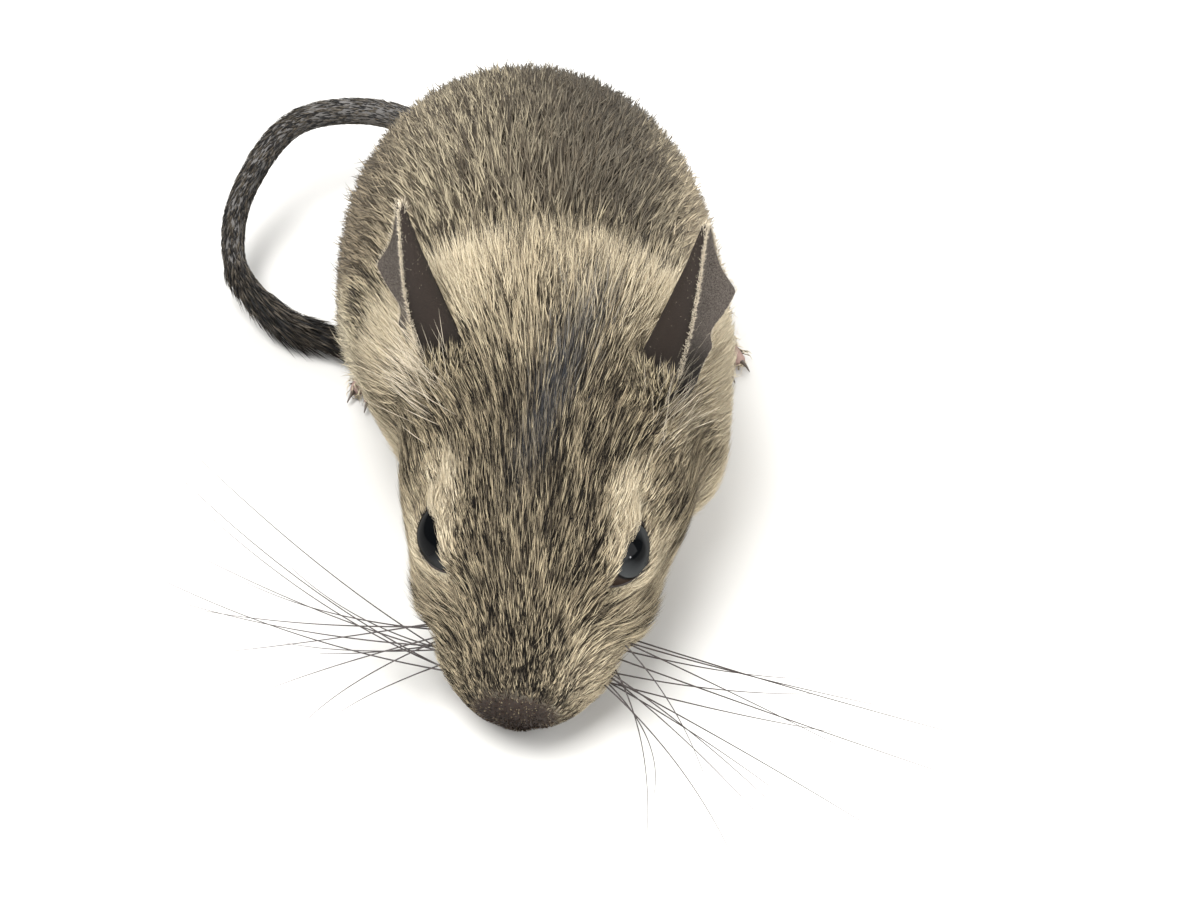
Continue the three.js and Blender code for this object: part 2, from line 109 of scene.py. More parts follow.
def enclosedVolume(verts, faces):
    a, b, c = (verts[faces[:, k]] for k in (0, 1, 2))
    volume = np.einsum("nd,nd->", a, np.cross(b, c))
    if faces.shape[1] == 4:
        d = verts[faces[:, 3]]
        volume += np.einsum("nd,nd->", a, np.cross(c, d))
    return volume


def makeMesh(name, verts, faces, material, attributes=None, uv=None, slot="coat"):
    # verts in mm, faces an array of triangles or quads, uv one pair for each vertex
    faces = np.asarray(faces, np.int32)
    if enclosedVolume(verts - verts[0], faces) < 0:
        faces = faces[:, ::-1]
    corners = faces.shape[1]
    mesh = bpy.data.meshes.new(name)
    mesh.vertices.add(len(verts))
    mesh.vertices.foreach_set("co", toFrame(verts).astype(np.float32).ravel())
    mesh.loops.add(faces.size)
    mesh.loops.foreach_set("vertex_index", faces.ravel())
    mesh.polygons.add(len(faces))
    mesh.polygons.foreach_set("loop_start", np.arange(0, faces.size, corners, dtype=np.int32))
    mesh.update(calc_edges=True)
    mesh.polygons.foreach_set("use_smooth", np.ones(len(faces), bool))
    for key, values in (attributes or {}).items():
        layer = mesh.attributes.new(key, "FLOAT", "POINT")
        layer.data.foreach_set("value", np.asarray(values, np.float32))
    if uv is not None:
        layer = mesh.uv_layers.new(name="OFBake")
        layer.data.foreach_set("uv", np.asarray(uv, np.float32)[faces.ravel()].ravel())
    piece = bpy.data.objects.new(name, mesh)
    bpy.context.scene.collection.objects.link(piece)
    mesh.materials.append(material)
    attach(piece, "root")
    return piece


def gridFaces(rows, columns, closed=True):
    # Quads between rows of points; a closed grid joins its last column to its first
    r = np.arange(rows - 1)[:, None] * columns
    c = np.arange(columns if closed else columns - 1)[None, :]
    n = (c + 1) % columns
    return np.stack([r + c, r + n, r + columns + n, r + columns + c], -1).reshape(-1, 4)


def pathFrame(path):
    # The way along a path, and two ways across it
    tangent = unit(np.gradient(path, axis=0))
    side = unit(np.cross(tangent, [0.03, 0.05, 1]))
    return tangent, side, np.cross(side, tangent)


def tube(path, radii, around):
    # A closed round tube along a path, with its two ends drawn to a point
    path = np.asarray(path, float)
    tangent, side, up = pathFrame(path)
    angle = np.linspace(0, 2 * np.pi, around, endpoint=False)[None, :, None]
    ring = np.cos(angle) * side[:, None] + np.sin(angle) * up[:, None]
    verts = path[:, None] + ring * radii[:, None, None]
    first = np.repeat(path[:1] - tangent[:1] * radii[0] * 0.3, around, 0)
    last = np.repeat(path[-1:] + tangent[-1:] * radii[-1] * 0.6, around, 0)
    verts = np.concatenate([first, verts.reshape(-1, 3), last])
    return verts, gridFaces(len(path) + 2, around)


def joined(parts):
    # Several pairs of points and faces as one pair
    offsets = np.cumsum([0] + [len(verts) for verts, _ in parts[:-1]])
    faces = [faces + offset for (_, faces), offset in zip(parts, offsets)]
    return np.concatenate([verts for verts, _ in parts]), np.concatenate(faces)


def smoothPath(points, count):
    # A Catmull-Rom curve through the points, at even steps
    p = np.asarray(points, float)
    p = np.concatenate([2 * p[:1] - p[1:2], p, 2 * p[-1:] - p[-2:-1]])
    t = np.linspace(0, len(p) - 3, 40 * (len(p) - 3) + 1)
    i = np.minimum(t.astype(int), len(p) - 4)
    s = (t - i)[:, None]
    a, b, c, d = p[i], p[i + 1], p[i + 2], p[i + 3]
    fine = 0.5 * (2 * b + (c - a) * s + (2 * a - 5 * b + 4 * c - d) * s**2 + (3 * b - a - 3 * c + d) * s**3)
    way = np.concatenate([[0], np.cumsum(np.linalg.norm(np.diff(fine, axis=0), axis=1))])
    even = np.linspace(0, way[-1], count)
    return np.stack([np.interp(even, way, fine[:, k]) for k in range(3)], 1)


# The soft body as blended rounded forms: place, size and whether there is one on each side

headForms = {
    "braincase": ((0, -4, -9.2), (12, 13, 9.6), False),
    "forehead": ((0, -15.5, -8.7), (10.8, 14.5, 9.1), False),
    "brow": ((6.8, -18.6, -5.7), (5.1, 7.6, 5), True),
    "muzzle": ((0, -27, -9), (8, 10.2, 7.4), False),
    "noseTip": ((0, -33.8, -7.6), (4.8, 3.8, 4.6), False),
    "lipPad": ((4.3, -30.2, -10.4), (5, 5.8, 5.2), True),
    "cheek": ((8.6, -11, -11.8), (7.3, 10.4, 7.8), True),
    "underEye": ((8.1, -19.3, -10.4), (5.3, 9.2, 5.2), True),
    "lowerJaw": ((0, -23.5, -14.6), (5.6, 9.4, 4.6), False),
    "throat": ((0, -10, -15.5), (9.4, 12, 7.6), False),
}
# Moves along X of the middle or left form and of the right one: the face is a little fuller on its
# right, and the muzzle leans to the right and is slimmer on its left
sideMoves = {"brow": (0, -0.85), "underEye": (-0.3, -0.85), "cheek": (0, -0.85), "lipPad": (-1.3, 0),
             "muzzle": (-0.6, 0), "noseTip": (-0.7, 0)}
noseMove = (-0.7, 0, 0)
bodyForms = {
    "rump": ((-3.8, 38, 20.3), (21.8, 21.5, 21.8), False),
    "back": ((-3, 25, 22), (22.6, 24, 24), False),
    "shoulders": ((1.2, 14, 22), (19.8, 14, 19.5), False),
    "nape": ((0.4, 13.5, 28), (13.5, 12.5, 12.8), False),
    "chest": ((0.6, 15, 12), (14, 11, 12), False),
}
limbForms = {
    "shoulderLeft": ((12.4, 7.5, 15.5), (7.8, 9.6, 9.8)),
    "shoulderRight": ((-11.2, 11.5, 14.5), (6.8, 9, 9)),
    "thighLeft": ((12.2, 38, 12.5), (7.6, 12, 10.5)),
    "thighRight": ((-18.9, 35.5, 12.5), (7.6, 12, 10.5)),
    "kneeLeft": ((15, 36, 9), (5, 8.4, 8)),
    "kneeRight": ((-20.8, 33, 9), (5, 8.4, 8)),
    "shankLeft": ((13.1, 47, 5.8), (4.6, 10, 4.6)),
    "shankRight": ((-18.1, 43, 5.8), (4.6, 10, 4.6)),
}
blends = {"head": 3.0, "body": 6.0, "neck": 4.0, "limb": 3.0, "foot": 1.2}
coatDepth = {"muzzle": 0.25, "face": 0.65, "nape": 0.7, "body": 0.7, "limb": 1.0}
skinGrid = {"low": (-30, -29, -1.4), "high": (28, 62, 48.5), "cell": 0.45}


def depthAt(points):
    local = toHead(points)
    return (coatDepth["muzzle"]
            + coatDepth["face"] * ramp(-37, -22, local[..., 1])
            + coatDepth["nape"] * ramp(-8, 6, local[..., 1])
            + coatDepth["body"] * ramp(8, 20, points[..., 1]))


gridAxes = [np.arange(lo, hi, skinGrid["cell"]) for lo, hi in zip(skinGrid["low"], skinGrid["high"])]
gridPoints = np.stack(np.meshgrid(*gridAxes, indexing="ij"), -1)


def blended(a, b, width):
    h = np.maximum(width - np.abs(a - b), 0) / width
    return np.minimum(a, b) - h * h * width / 4


def ellipsoid(points, at, size):
    q = points - np.asarray(at, float)
    size = np.asarray(size, float)
    k1 = np.linalg.norm(q / size, axis=-1)
    k2 = np.linalg.norm(q / size**2, axis=-1)
    return k1 * (k1 - 1) / np.maximum(k2, 1e-6)


def capsule(points, start, end, r1, r2):
    a, b = np.asarray(start, float), np.asarray(end, float)
    t = np.clip((points - a) @ (b - a) / ((b - a) @ (b - a)), 0, 1)
    near = a + t[..., None] * (b - a)
    return np.linalg.norm(points - near, axis=-1) - (r1 + (r2 - r1) * t)


def nearBox(low, high, margin):
    # The stretch of the grid round a small form
    spans = []
    for axis, lo, hi in zip(gridAxes, low, high):
        spans.append(slice(np.searchsorted(axis, lo - margin), np.searchsorted(axis, hi + margin)))
    return tuple(spans)


def formField(forms, width, points):
    field = np.full(points.shape[:-1], 1e3)
    for name, (at, size, paired) in forms.items():
        for sign in (1, -1) if paired else (1,):
            move = sideMoves.get(name, (0, 0))[int(sign < 0)]
            spot = np.array(mirrored(at, sign)) + (move, 0, 0)
            field = blended(field, ellipsoid(points, spot, size), width)
    return field


headLocal = toHead(gridPoints)
coatField = blended(formField(headForms, blends["head"], headLocal),
                    formField(bodyForms, blends["body"], gridPoints), blends["neck"])
skinField = coatField + depthAt(gridPoints)
print("body field made")

# Limbs: flesh under the coat, then feet with toes

feet = {
    "hindLeft": {"heel": (12, 55.5, 2.6), "sole": (18.6, 42, 2.3), "turn": 18, "kind": "hind"},
    "hindRight": {"heel": (-16.5, 51, 2.6), "sole": (-22, 37, 2.3), "turn": -9, "kind": "hind"},
    "foreLeft": {"heel": (8.8, 11.5, 3), "sole": (8.8, 8.3, 1.8), "turn": -4, "kind": "fore"},
    "foreRight": {"heel": (-10, 10, 3), "sole": (-10, 6.8, 1.8), "turn": 6, "kind": "fore"},
}
toeLine = [(0, 0.6), (0.45, 0.7), (0.8, 0.1), (1, 0)]  # share of a toe's length, height over its lie
footKinds = {
    "hind": {"radius": 2.5, "toe": 7.2, "toeRadius": 1.1, "spread": 30, "claw": 2.2},
    "fore": {"radius": 2.1, "toe": 5, "toeRadius": 0.9, "spread": 44, "claw": 1.8},
}
forearms = {"foreLeft": (12.5, 14, 9), "foreRight": (-12.5, 14, 9)}
forearmRadii = (3.6, 2.1)
# Shares of the radius: a toe's end, the gaps between toes, the heel
toes = {"blend": 0.35, "taper": 0.85, "spacing": 1.5, "outerShorter": 0.5, "heel": 0.9}


def addForm(low, high, field, width):
    span = nearBox(low, high, width * 1.5)
    skinField[span] = blended(skinField[span], field(gridPoints[span]), width)


for at, size in limbForms.values():
    thin = np.asarray(size) - coatDepth["limb"]
    addForm(np.subtract(at, size), np.add(at, size), lambda p: ellipsoid(p, at, thin), blends["limb"])


def addCapsule(start, end, r1, r2, width):
    widest = max(r1, r2)
    low, high = np.minimum(start, end) - widest, np.maximum(start, end) + widest
    addForm(low, high, lambda p: capsule(p, start, end, r1, r2), width)


def toePaths(foot):
    # Each toe runs out over one low knuckle; the last point is the root of its claw
    kind = footKinds[foot["kind"]]
    paths = []
    for place in (-0.5, -1 / 6, 1 / 6, 0.5):
        angle = math.radians(foot["turn"] + place * kind["spread"])
        ahead = np.array([math.sin(angle), -math.cos(angle), 0])
        across = np.array([math.cos(angle), math.sin(angle), 0])
        start = np.array([*foot["sole"][:2], 0]) + across * place * kind["radius"] * toes["spacing"]
        reach = kind["toe"] * (1 - toes["outerShorter"] * place * place)
        lie = kind["toeRadius"] * toes["taper"]
        paths.append([start + ahead * reach * share + (0, 0, lie + rise) for share, rise in toeLine])
    return paths


for name, foot in feet.items():
    kind = footKinds[foot["kind"]]
    addCapsule(foot["heel"], foot["sole"], kind["radius"] * toes["heel"], kind["radius"], blends["foot"])
    if name in forearms:
        addCapsule(forearms[name], foot["heel"], *forearmRadii, blends["foot"])
    for path in toePaths(foot):
        for start, end in zip(path[:-1], path[1:]):
            addCapsule(start, end, kind["toeRadius"], kind["toeRadius"] * toes["taper"], toes["blend"])

# Eye openings, nostrils and the line of the mouth are cut into the skin

lids = {"aside": 57, "forward": 11.5, "turnIn": 33, "power": 1.3, "thickness": 0.32, "wrap": (0.05, 0.75),
        "wrapDepth": (2.5, 3.5), "thickFlesh": (1.2, 2.6), "cutEdge": 0.06, "cutDepth": 1.2, "span": 7}
openings = {
    "left": {"front": 1.1, "rear": 1.22, "inner": 0.6, "outer": 0.42},
    "right": {"front": 1.18, "rear": 1.06, "inner": 0.76, "outer": 0.43},
}
nostril = {"at": (1.9, -37, -7.9), "size": (0.5, 1.5, 0.8), "tilt": 35, "soft": 0.4, "span": 3}
mouthLine = [(6.4, -25.5, -14.4), (4.6, -30.6, -14.2), (2, -34, -13.2), (0, -34.8, -12.6)]
mouthCut = {"from": (0, -26, -11), "width": 0.45, "soft": 0.3}


def eyeFrame(sign):
    # Which way an eye looks, the way along its opening to the nose, and the way up over it
    aside, forward = math.radians(lids["aside"]), math.radians(lids["forward"])
    look = np.array([sign * math.sin(aside) * math.cos(forward), -math.sin(forward),
                     math.cos(aside) * math.cos(forward)])
    turnIn = math.radians(lids["turnIn"])
    ahead = np.array([-sign * math.sin(turnIn), -math.cos(turnIn), 0])
    ahead = unit(ahead - look * (ahead @ look))
    up = np.cross(ahead, look) * sign
    return look, ahead, up


def openingReach(phi, sign):
    # Angle from the middle of the opening to its edge, pointed at both corners
    edge = openings["left" if sign > 0 else "right"]
    c, s = np.cos(phi), np.sin(phi)
    length = np.where(c > 0, edge["front"], edge["rear"])
    height = np.where(s > 0, edge["inner"], edge["outer"])
    power = lids["power"]
    return (np.abs(c / length) ** power + np.abs(s / height) ** power) ** (-1 / power)


def outsideOpening(local, sign):
    # Angle between a point, seen from the eye's middle, and the edge of the opening
    look, ahead, up = eyeFrame(sign)
    q = unit(local - eyeAt(sign))
    away = np.arccos(np.clip(q @ look, -1, 1))
    phi = np.arctan2(q @ up, q @ ahead)
    return away - openingReach(phi, sign)


def openingSlope(local, sign):
    # The way straight out from the nearest edge of the opening
    step = 0.1 * np.eye(3)
    slopes = [outsideOpening(local + s, sign) - outsideOpening(local - s, sign) for s in step]
    return unit(np.stack(slopes, -1))


for sign in (1, -1):
    middle = fromHead(eyeAt(sign))
    span = nearBox(middle, middle, lids["span"])
    local = headLocal[span]
    outside = outsideOpening(local, sign)
    out = np.linalg.norm(local - eyeAt(sign), axis=-1)
    onBall = out - eye["radius"] - lids["thickness"]
    share = (1 - ramp(*lids["wrap"], outside)) * (1 - ramp(*lids["wrapDepth"], np.abs(onBall)))
    share = share * (1 - ramp(*lids["thickFlesh"], onBall - skinField[span]))
    skinField[span] = skinField[span] * (1 - share) + onBall * share
    cut = np.maximum((outside - lids["cutEdge"]) * eye["radius"], eye["radius"] - lids["cutDepth"] - out)
    skinField[span] = np.maximum(skinField[span], -cut)
    nostrilAt = np.add(mirrored(nostril["at"], sign), noseMove)
    at = fromHead(nostrilAt)
    span = nearBox(at, at, nostril["span"])
    tilt = rotation("Y", sign * nostril["tilt"])
    hole = ellipsoid((headLocal[span] - nostrilAt) @ tilt, (0, 0, 0), nostril["size"])
    skinField[span] = -blended(-skinField[span], hole, nostril["soft"])


def cornerWeights(part):
    # The eight corners of a cell, each with its weight for the places inside it
    for corner in np.ndindex(2, 2, 2):
        yield np.array(corner), np.prod(np.abs(1 - np.array(corner) - part), 1)


def sampleField(field, points):
    # The field between grid points
    place = (points - np.array([axis[0] for axis in gridAxes])) / skinGrid["cell"]
    low = np.clip(np.floor(place).astype(int), 0, np.array(field.shape) - 2)
    part = np.clip(place - low, 0, 1)
    return sum(weight * field[tuple((low + corner).T)] for corner, weight in cornerWeights(part))


def ontoSkin(points, towards):
    # Points moved along a line from inside the head until they meet the skin
    start = np.asarray(towards, float)
    ray = unit(points - start)
    steps = np.linspace(0, 30, 90)  # mm
    inside = np.stack([sampleField(skinField, start + ray * s) < 0 for s in steps])
    last = np.where(inside.all(0), len(steps) - 1, np.argmin(inside, 0))
    near, far = steps[np.maximum(last - 1, 0)], steps[last]
    for _ in range(12):
        middle = (near + far) / 2
        isIn = sampleField(skinField, start + ray * middle[:, None]) < 0
        near, far = np.where(isIn, middle, near), np.where(isIn, far, middle)
    return start + ray * near[:, None]


def mouthPath():
    half = smoothPath(mouthLine, 14)
    other = half[:-1][::-1] * (-1, 1, 1)
    line = fromHead(np.concatenate([half, other]) + noseMove)
    return ontoSkin(line, fromHead([mouthCut["from"]]))


mouth = mouthPath()
for start, end in zip(mouth[:-1], mouth[1:]):
    span = nearBox(np.minimum(start, end), np.maximum(start, end), 2)
    groove = capsule(gridPoints[span], start, end, mouthCut["width"], mouthCut["width"])
    skinField[span] = -blended(-skinField[span], groove, mouthCut["soft"])

soleHeight = 0.02
skinField = np.maximum(skinField, soleHeight - gridPoints[..., 2])
print("skin field made")


# Skin surface: one point in each cell that the surface crosses

def surfaceNet(field):
    inside = field < 0
    n = np.array(field.shape) - 1
    corners = list(np.ndindex(2, 2, 2))
    count = sum(inside[i:n[0] + i, j:n[1] + j, k:n[2] + k].astype(np.int8) for i, j, k in corners)
    cells = np.argwhere((count > 0) & (count < 8))
    index = np.full(n, -1, np.int32)
    index[tuple(cells.T)] = np.arange(len(cells))
    total, crossings = np.zeros((len(cells), 3)), np.zeros(len(cells))
    for a in corners:
        for axis in range(3):
            if a[axis]:
                continue
            b = list(a)
            b[axis] = 1
            fa = field[tuple((cells + a).T)]
            fb = field[tuple((cells + b).T)]
            crosses = (fa < 0) != (fb < 0)
            t = np.where(crosses, fa / np.where(crosses, fa - fb, 1), 0)
            place = np.array(a, float) + t[:, None] * (np.array(b) - np.array(a))
            total += place * crosses[:, None]
            crossings += crosses
    places = cells + total / crossings[:, None]
    low = np.array([axis[0] for axis in gridAxes])
    verts = low + places * skinGrid["cell"]
    faces = []
    for axis in range(3):
        u, v = (axis + 1) % 3, (axis + 2) % 3
        ahead = [slice(None)] * 3
        ahead[axis] = slice(1, None)
        here = [slice(None)] * 3
        here[axis] = slice(None, -1)
        change = inside[tuple(here)] != inside[tuple(ahead)]
        edge = np.argwhere(change)
        edge = edge[(edge[:, u] > 0) & (edge[:, v] > 0) & (edge[:, u] < n[u]) & (edge[:, v] < n[v])]
        quad = []
        for du, dv in ((1, 1), (0, 1), (0, 0), (1, 0)):
            cell = edge.copy()
            cell[:, u] -= du
            cell[:, v] -= dv
            quad.append(index[tuple(cell.T)])
        quad = np.stack(quad, 1)
        outward = inside[tuple(edge.T)]
        quad[~outward] = quad[~outward][:, ::-1]
        faces.append(quad)
    return verts, np.concatenate(faces)


def vertexNormals(verts, faces):
    a, b, c = verts[faces[:, 0]], verts[faces[:, 1]], verts[faces[:, 2]]
    n = np.cross(b - a, c - a)
    total = np.zeros_like(verts)
    for k in range(faces.shape[1]):
        np.add.at(total, faces[:, k], n)
    return unit(total)


skinVerts, skinQuads = surfaceNet(skinField)
skinTriangles = np.concatenate([skinQuads[:, [0, 1, 2]], skinQuads[:, [0, 2, 3]]])
skinNormals = vertexNormals(skinVerts, skinTriangles)
print("skin surface:", len(skinTriangles), "triangles")


# Markings: shares from 0 to 1, the same for skin and coat

def blob(points, at, size):
    # One inside a soft-edged oval, zero outside it
    q = (points - np.asarray(at, float)) / np.asarray(size, float)
    return np.exp(-2 * np.sum(q * q, -1))


def nearEye(points):
    local = toHead(points)
    return np.min([np.linalg.norm(local - eyeAt(s), axis=-1) for s in (1, -1)], 0)


def ruffShare(local):
    # One on the arc of long pale hair behind the crown, from ear to ear
    y, z = local[..., 1] + 0.03 * local[..., 0] ** 2, local[..., 2]
    return ramp(0, 6, y) * (1 - ramp(8.2, 9.8, y)) * ramp(-14, -8, z)


marks = {
    "collar": (0.36, 0.37), "eyeRing": 0.75, "leftLip": 0.5, "throat": 0.7, "belly": (0.75, 0.15),
    "shoulder": (0.5, 0.3), "shoulderMiddle": -0.5, "crown": 0.25, "rightFlank": 0.35, "body": 0.12,
    "slate": 0.62, "slateWidth": 1.3, "streakStart": (0.6, -6), "streakLean": 0.25,
    "saddle": (0.35, 0.65), "saddleEdge": 0.8, "tan": 0.8, "tanMiddle": -1.5,
    "footMiddle": -2, "footAside": 5,
    "padAt": (0, -36.1, -6.6), "padSize": (4.3, 3.1, 4.4),
}
# Pale spots in the head's frame, on both sides and on the left only: strength, place and size
paleSpots = {
    "behindEar": (1, (8, 4, 0), (2.8, 6, 6)),
    "brow": (2, (9, -15.1, -3), (2.1, 4, 5)),
    "overEye": (1.2, (8.3, -16.8, -3), (1.3, 3, 4)),
    "cheek": (0.6, (11.5, -23, -9), (4, 4, 5)),
    "beforeEye": (0.5, (7.5, -25.5, -6), (3, 3, 4)),
    "lip": (0.6, (8.5, -30.5, -10), (4, 6, 5)),
}
leftSpots = {
    "besideEar": (0.7, (6.8, -1, 2), (2, 4, 6)),
    "temple": (0.65, (13.5, -6, -7), (4.5, 6, 5)),
}


def markings(points):
    local = toHead(points)
    x, y, z = local[..., 0], local[..., 1], local[..., 2]
    across, back, height = points[..., 0], points[..., 1], points[..., 2]
    side = np.abs(x)
    folded = np.stack([side - eye["rightOutset"] * (x < 0), y, z], -1)
    onHead = 1 - ramp(6, 10, y)
    body = ramp(8, 14, back) * ramp(6, 10, y)
    bellyShare = marks["belly"][0] + marks["belly"][1] * np.sign(x)
    shoulderShare = marks["shoulder"][0] + marks["shoulder"][1] * np.sign(x)
    offShoulder = np.abs(across - marks["shoulderMiddle"])
    pale = [strength * blob(folded, at, size) for strength, at, size in paleSpots.values()]
    pale += [strength * blob(local, at, size) for strength, at, size in leftSpots.values()]
    pale += [
        ruffShare(local) * (marks["collar"][0] + marks["collar"][1] * ramp(2, 8, side)),
        marks["eyeRing"] * (1 - ramp(5, 7.2, nearEye(points))) * ramp(6.5, 9, side) * (1 - ramp(-20, -14, y)),
        marks["leftLip"] * ramp(1, 6, x) * ramp(-25, -31, y),
        marks["throat"] * ramp(6, 14, -z - 4) * onHead,
        bellyShare * (1 - ramp(5, 17, height)) * body,
        shoulderShare * ramp(9, 16, offShoulder) * ramp(-3, 6, back),
        marks["crown"] * ramp(-7, 1, y) * (1 - ramp(4, 9, y)) * onHead,
        marks["rightFlank"] * ramp(0, 16, -across) * body,
        marks["body"] * body,
    ]
    streakX, streakY = marks["streakStart"]
    offStreak = x - streakX - marks["streakLean"] * (y - streakY)
    slate = marks["slate"] * np.exp(-(offStreak / marks["slateWidth"]) ** 2)
    saddle = marks["saddle"][0] + marks["saddle"][1] * ramp(-9, 3, across)
    pad = (local - np.array(marks["padAt"]) - noseMove) / np.array(marks["padSize"])
    offTan = np.abs(across - marks["tanMiddle"])
    values = {
        "cream": np.maximum.reduce(pale),
        "slate": slate * ramp(-20, -6, y) * (1 - ramp(3, 7, y)),
        "dark": body * ramp(16, 32, height) * saddle * (1 - marks["saddleEdge"] * ramp(7, 14, across)),
        "nose": 1 - ramp(0.92, 1.1, np.linalg.norm(pad, axis=-1)),
        "tan": marks["tan"] * ramp(8, 19, offTan) * body * ramp(6, 18, height),
        "body": body,
        "bare": (1 - ramp(2.5, 6.5, height)) * (np.abs(across - marks["footMiddle"]) > marks["footAside"]),
    }
    return {key: np.clip(value, 0, 1) for key, value in values.items()}


# Materials

def nodeGroup(name, inputs, outputs):
    group = bpy.data.node_groups.new(name, "ShaderNodeTree")
    for label, kind, default in inputs:
        socket = group.interface.new_socket(name=label, in_out="INPUT", socket_type=kind)
        socket.default_value = default
    for label, kind in outputs:
        group.interface.new_socket(name=label, in_out="OUTPUT", socket_type=kind)
    group.nodes.new("NodeGroupInput")
    group.nodes.new("NodeGroupOutput")
    return group


def addNode(tree, kind, links=None, **settings):
    node = tree.nodes.new(kind)
    for key, value in settings.items():
        setattr(node, key, value)
    for socket, source in (links or {}).items():
        target = node.inputs[socket]
        if isinstance(source, bpy.types.NodeSocket):
            tree.links.new(source, target)
        else:
            target.default_value = source
    return node


def mixColour(tree, share, a, b, mode="MIX"):
    node = tree.nodes.new("ShaderNodeMix")
    node.data_type = "RGBA"
    node.blend_type = mode
    for socket, source in ((node.inputs[0], share), (node.inputs[6], a), (node.inputs[7], b)):
        if isinstance(source, bpy.types.NodeSocket):
            tree.links.new(source, socket)
        else:
            socket.default_value = source
    return node.outputs[2]


def mapRange(tree, value, low, high, toLow=0.0, toHigh=1.0):
    links = {"Value": value, "From Min": low, "From Max": high, "To Min": toLow, "To Max": toHigh}
    return addNode(tree, "ShaderNodeMapRange", links).outputs["Result"]


def noise(tree, scale, detail=2.0, roughness=0.5):
    links = {"Scale": scale, "Detail": detail, "Roughness": roughness}
    return addNode(tree, "ShaderNodeTexNoise", links).outputs["Fac"]


coatColours = {
    "Light": (0.48, 0.405, 0.265, 1), "Mid": (0.12, 0.096, 0.066, 1), "Dark": (0.009, 0.0075, 0.006, 1),
    "Under": (0.014, 0.012, 0.0105, 1), "Cream": (0.78, 0.69, 0.51, 1), "Slate": (0.085, 0.09, 0.1, 1),
    "Back": (0.135, 0.115, 0.084, 1), "Tan": (0.44, 0.345, 0.225, 1), "Nose": (0.062, 0.04, 0.03, 1),
}
maskNames = ("cream", "slate", "dark", "nose", "tan", "body", "bare")
bands = {
    "darkShare": 0.53, "darkTips": 0.5, "creamShift": 0.75, "slateShift": 0.06, "slateTone": 0.7,
    "bodyDeep": 0.45, "creamUnder": 0.35, "light": (-0.1, 0.36), "mid": (-0.32, -0.04),
    "under": (0.05, 0.5), "tip": (0.8, 1.0),
}


def agoutiGroup():
    # Colour of a banded hair from its place along it, its tone among its neighbours and the markings
    inputs = [("Along", "NodeSocketFloat", 0.6), ("Shade", "NodeSocketFloat", 0.5)]
    inputs += [(name, "NodeSocketFloat", 0.0) for name in maskNames]
    inputs += [(name, "NodeSocketColor", value) for name, value in coatColours.items()]
    inputs += [("Dark share", "NodeSocketFloat", bands["darkShare"]),
               ("Dark tips", "NodeSocketFloat", bands["darkTips"])]
    group = nodeGroup("agoutiCoat", inputs, [("Color", "NodeSocketColor")])
    entry = group.nodes["Group Input"].outputs

    def calculate(operation, a, b):
        return addNode(group, "ShaderNodeMath", {0: a, 1: b}, operation=operation).outputs[0]

    def times(a, b):
        return calculate("MULTIPLY", a, b)

    light = entry["Light"]
    for mask, colour in (("cream", "Cream"), ("tan", "Tan"), ("dark", "Back"), ("slate", "Slate")):
        light = mixColour(group, entry[mask], light, entry[colour])
    # The tone at which a hair turns from dark to light moves with the markings
    edge = calculate("SUBTRACT", entry["Dark share"], times(entry["cream"], bands["creamShift"]))
    edge = calculate("ADD", edge, times(entry["slate"], bands["slateShift"]))
    over = calculate("SUBTRACT", entry["Shade"], edge)
    deep = mixColour(group, times(entry["body"], bands["bodyDeep"]), entry["Dark"], entry["Mid"])
    tone = mixColour(group, mapRange(group, over, *bands["mid"]), deep, entry["Mid"])
    tone = mixColour(group, mapRange(group, over, *bands["light"]), tone, light)
    tone = mixColour(group, times(entry["slate"], bands["slateTone"]), tone, entry["Slate"])
    tone = mixColour(group, entry["nose"], tone, entry["Nose"])
    under = mixColour(group, times(entry["cream"], bands["creamUnder"]), entry["Under"], entry["Cream"])
    banded = mixColour(group, mapRange(group, entry["Along"], *bands["under"]), under, tone)
    tip = times(mapRange(group, entry["Along"], *bands["tip"]), entry["Dark tips"])
    tip = times(tip, calculate("SUBTRACT", 1.0, entry["cream"]))
    colour = mixColour(group, tip, banded, entry["Dark"])
    group.links.new(colour, group.nodes["Group Output"].inputs["Color"])
    return group


def newMaterial(name, **settings):
    material = bpy.data.materials.new(name)
    material.use_nodes = True
    shader = material.node_tree.nodes["Principled BSDF"]
    for key, value in settings.items():
        shader.inputs[key.replace("_", " ")].default_value = value
    return material, material.node_tree, shader


def attribute(tree, name):
    return addNode(tree, "ShaderNodeAttribute", attribute_name=name).outputs["Fac"]


def bump(tree, shader, height, strength, distance):
    links = {"Height": height, "Strength": strength, "Distance": distance}
    tree.links.new(addNode(tree, "ShaderNodeBump", links).outputs[0], shader.inputs["Normal"])


def grainedMaterial(name, roughness, scale, detail, low, high, relief=0.0):
    # Two tones mixed by a fine grain, which may also stand in relief
    material, tree, shader = newMaterial(name, Roughness=roughness)
    grain = noise(tree, scale, detail)
    tree.links.new(mixColour(tree, grain, low, high), shader.inputs["Base Color"])
    if relief:
        bump(tree, shader, grain, relief, 0.0001)
    return material


agouti = agoutiGroup()
hairLook = {"specular": 0.12, "grain": 900.0, "grainRange": (0.3, 0.7), "tint": (0.85, 1.12)}


def agoutiNode(tree, names):
    # The coat's colours, with its masks read from the mesh
    group = addNode(tree, "ShaderNodeGroup", None, node_tree=agouti)
    for key, label in names.items():
        tree.links.new(attribute(tree, key), group.inputs[label])
    return group


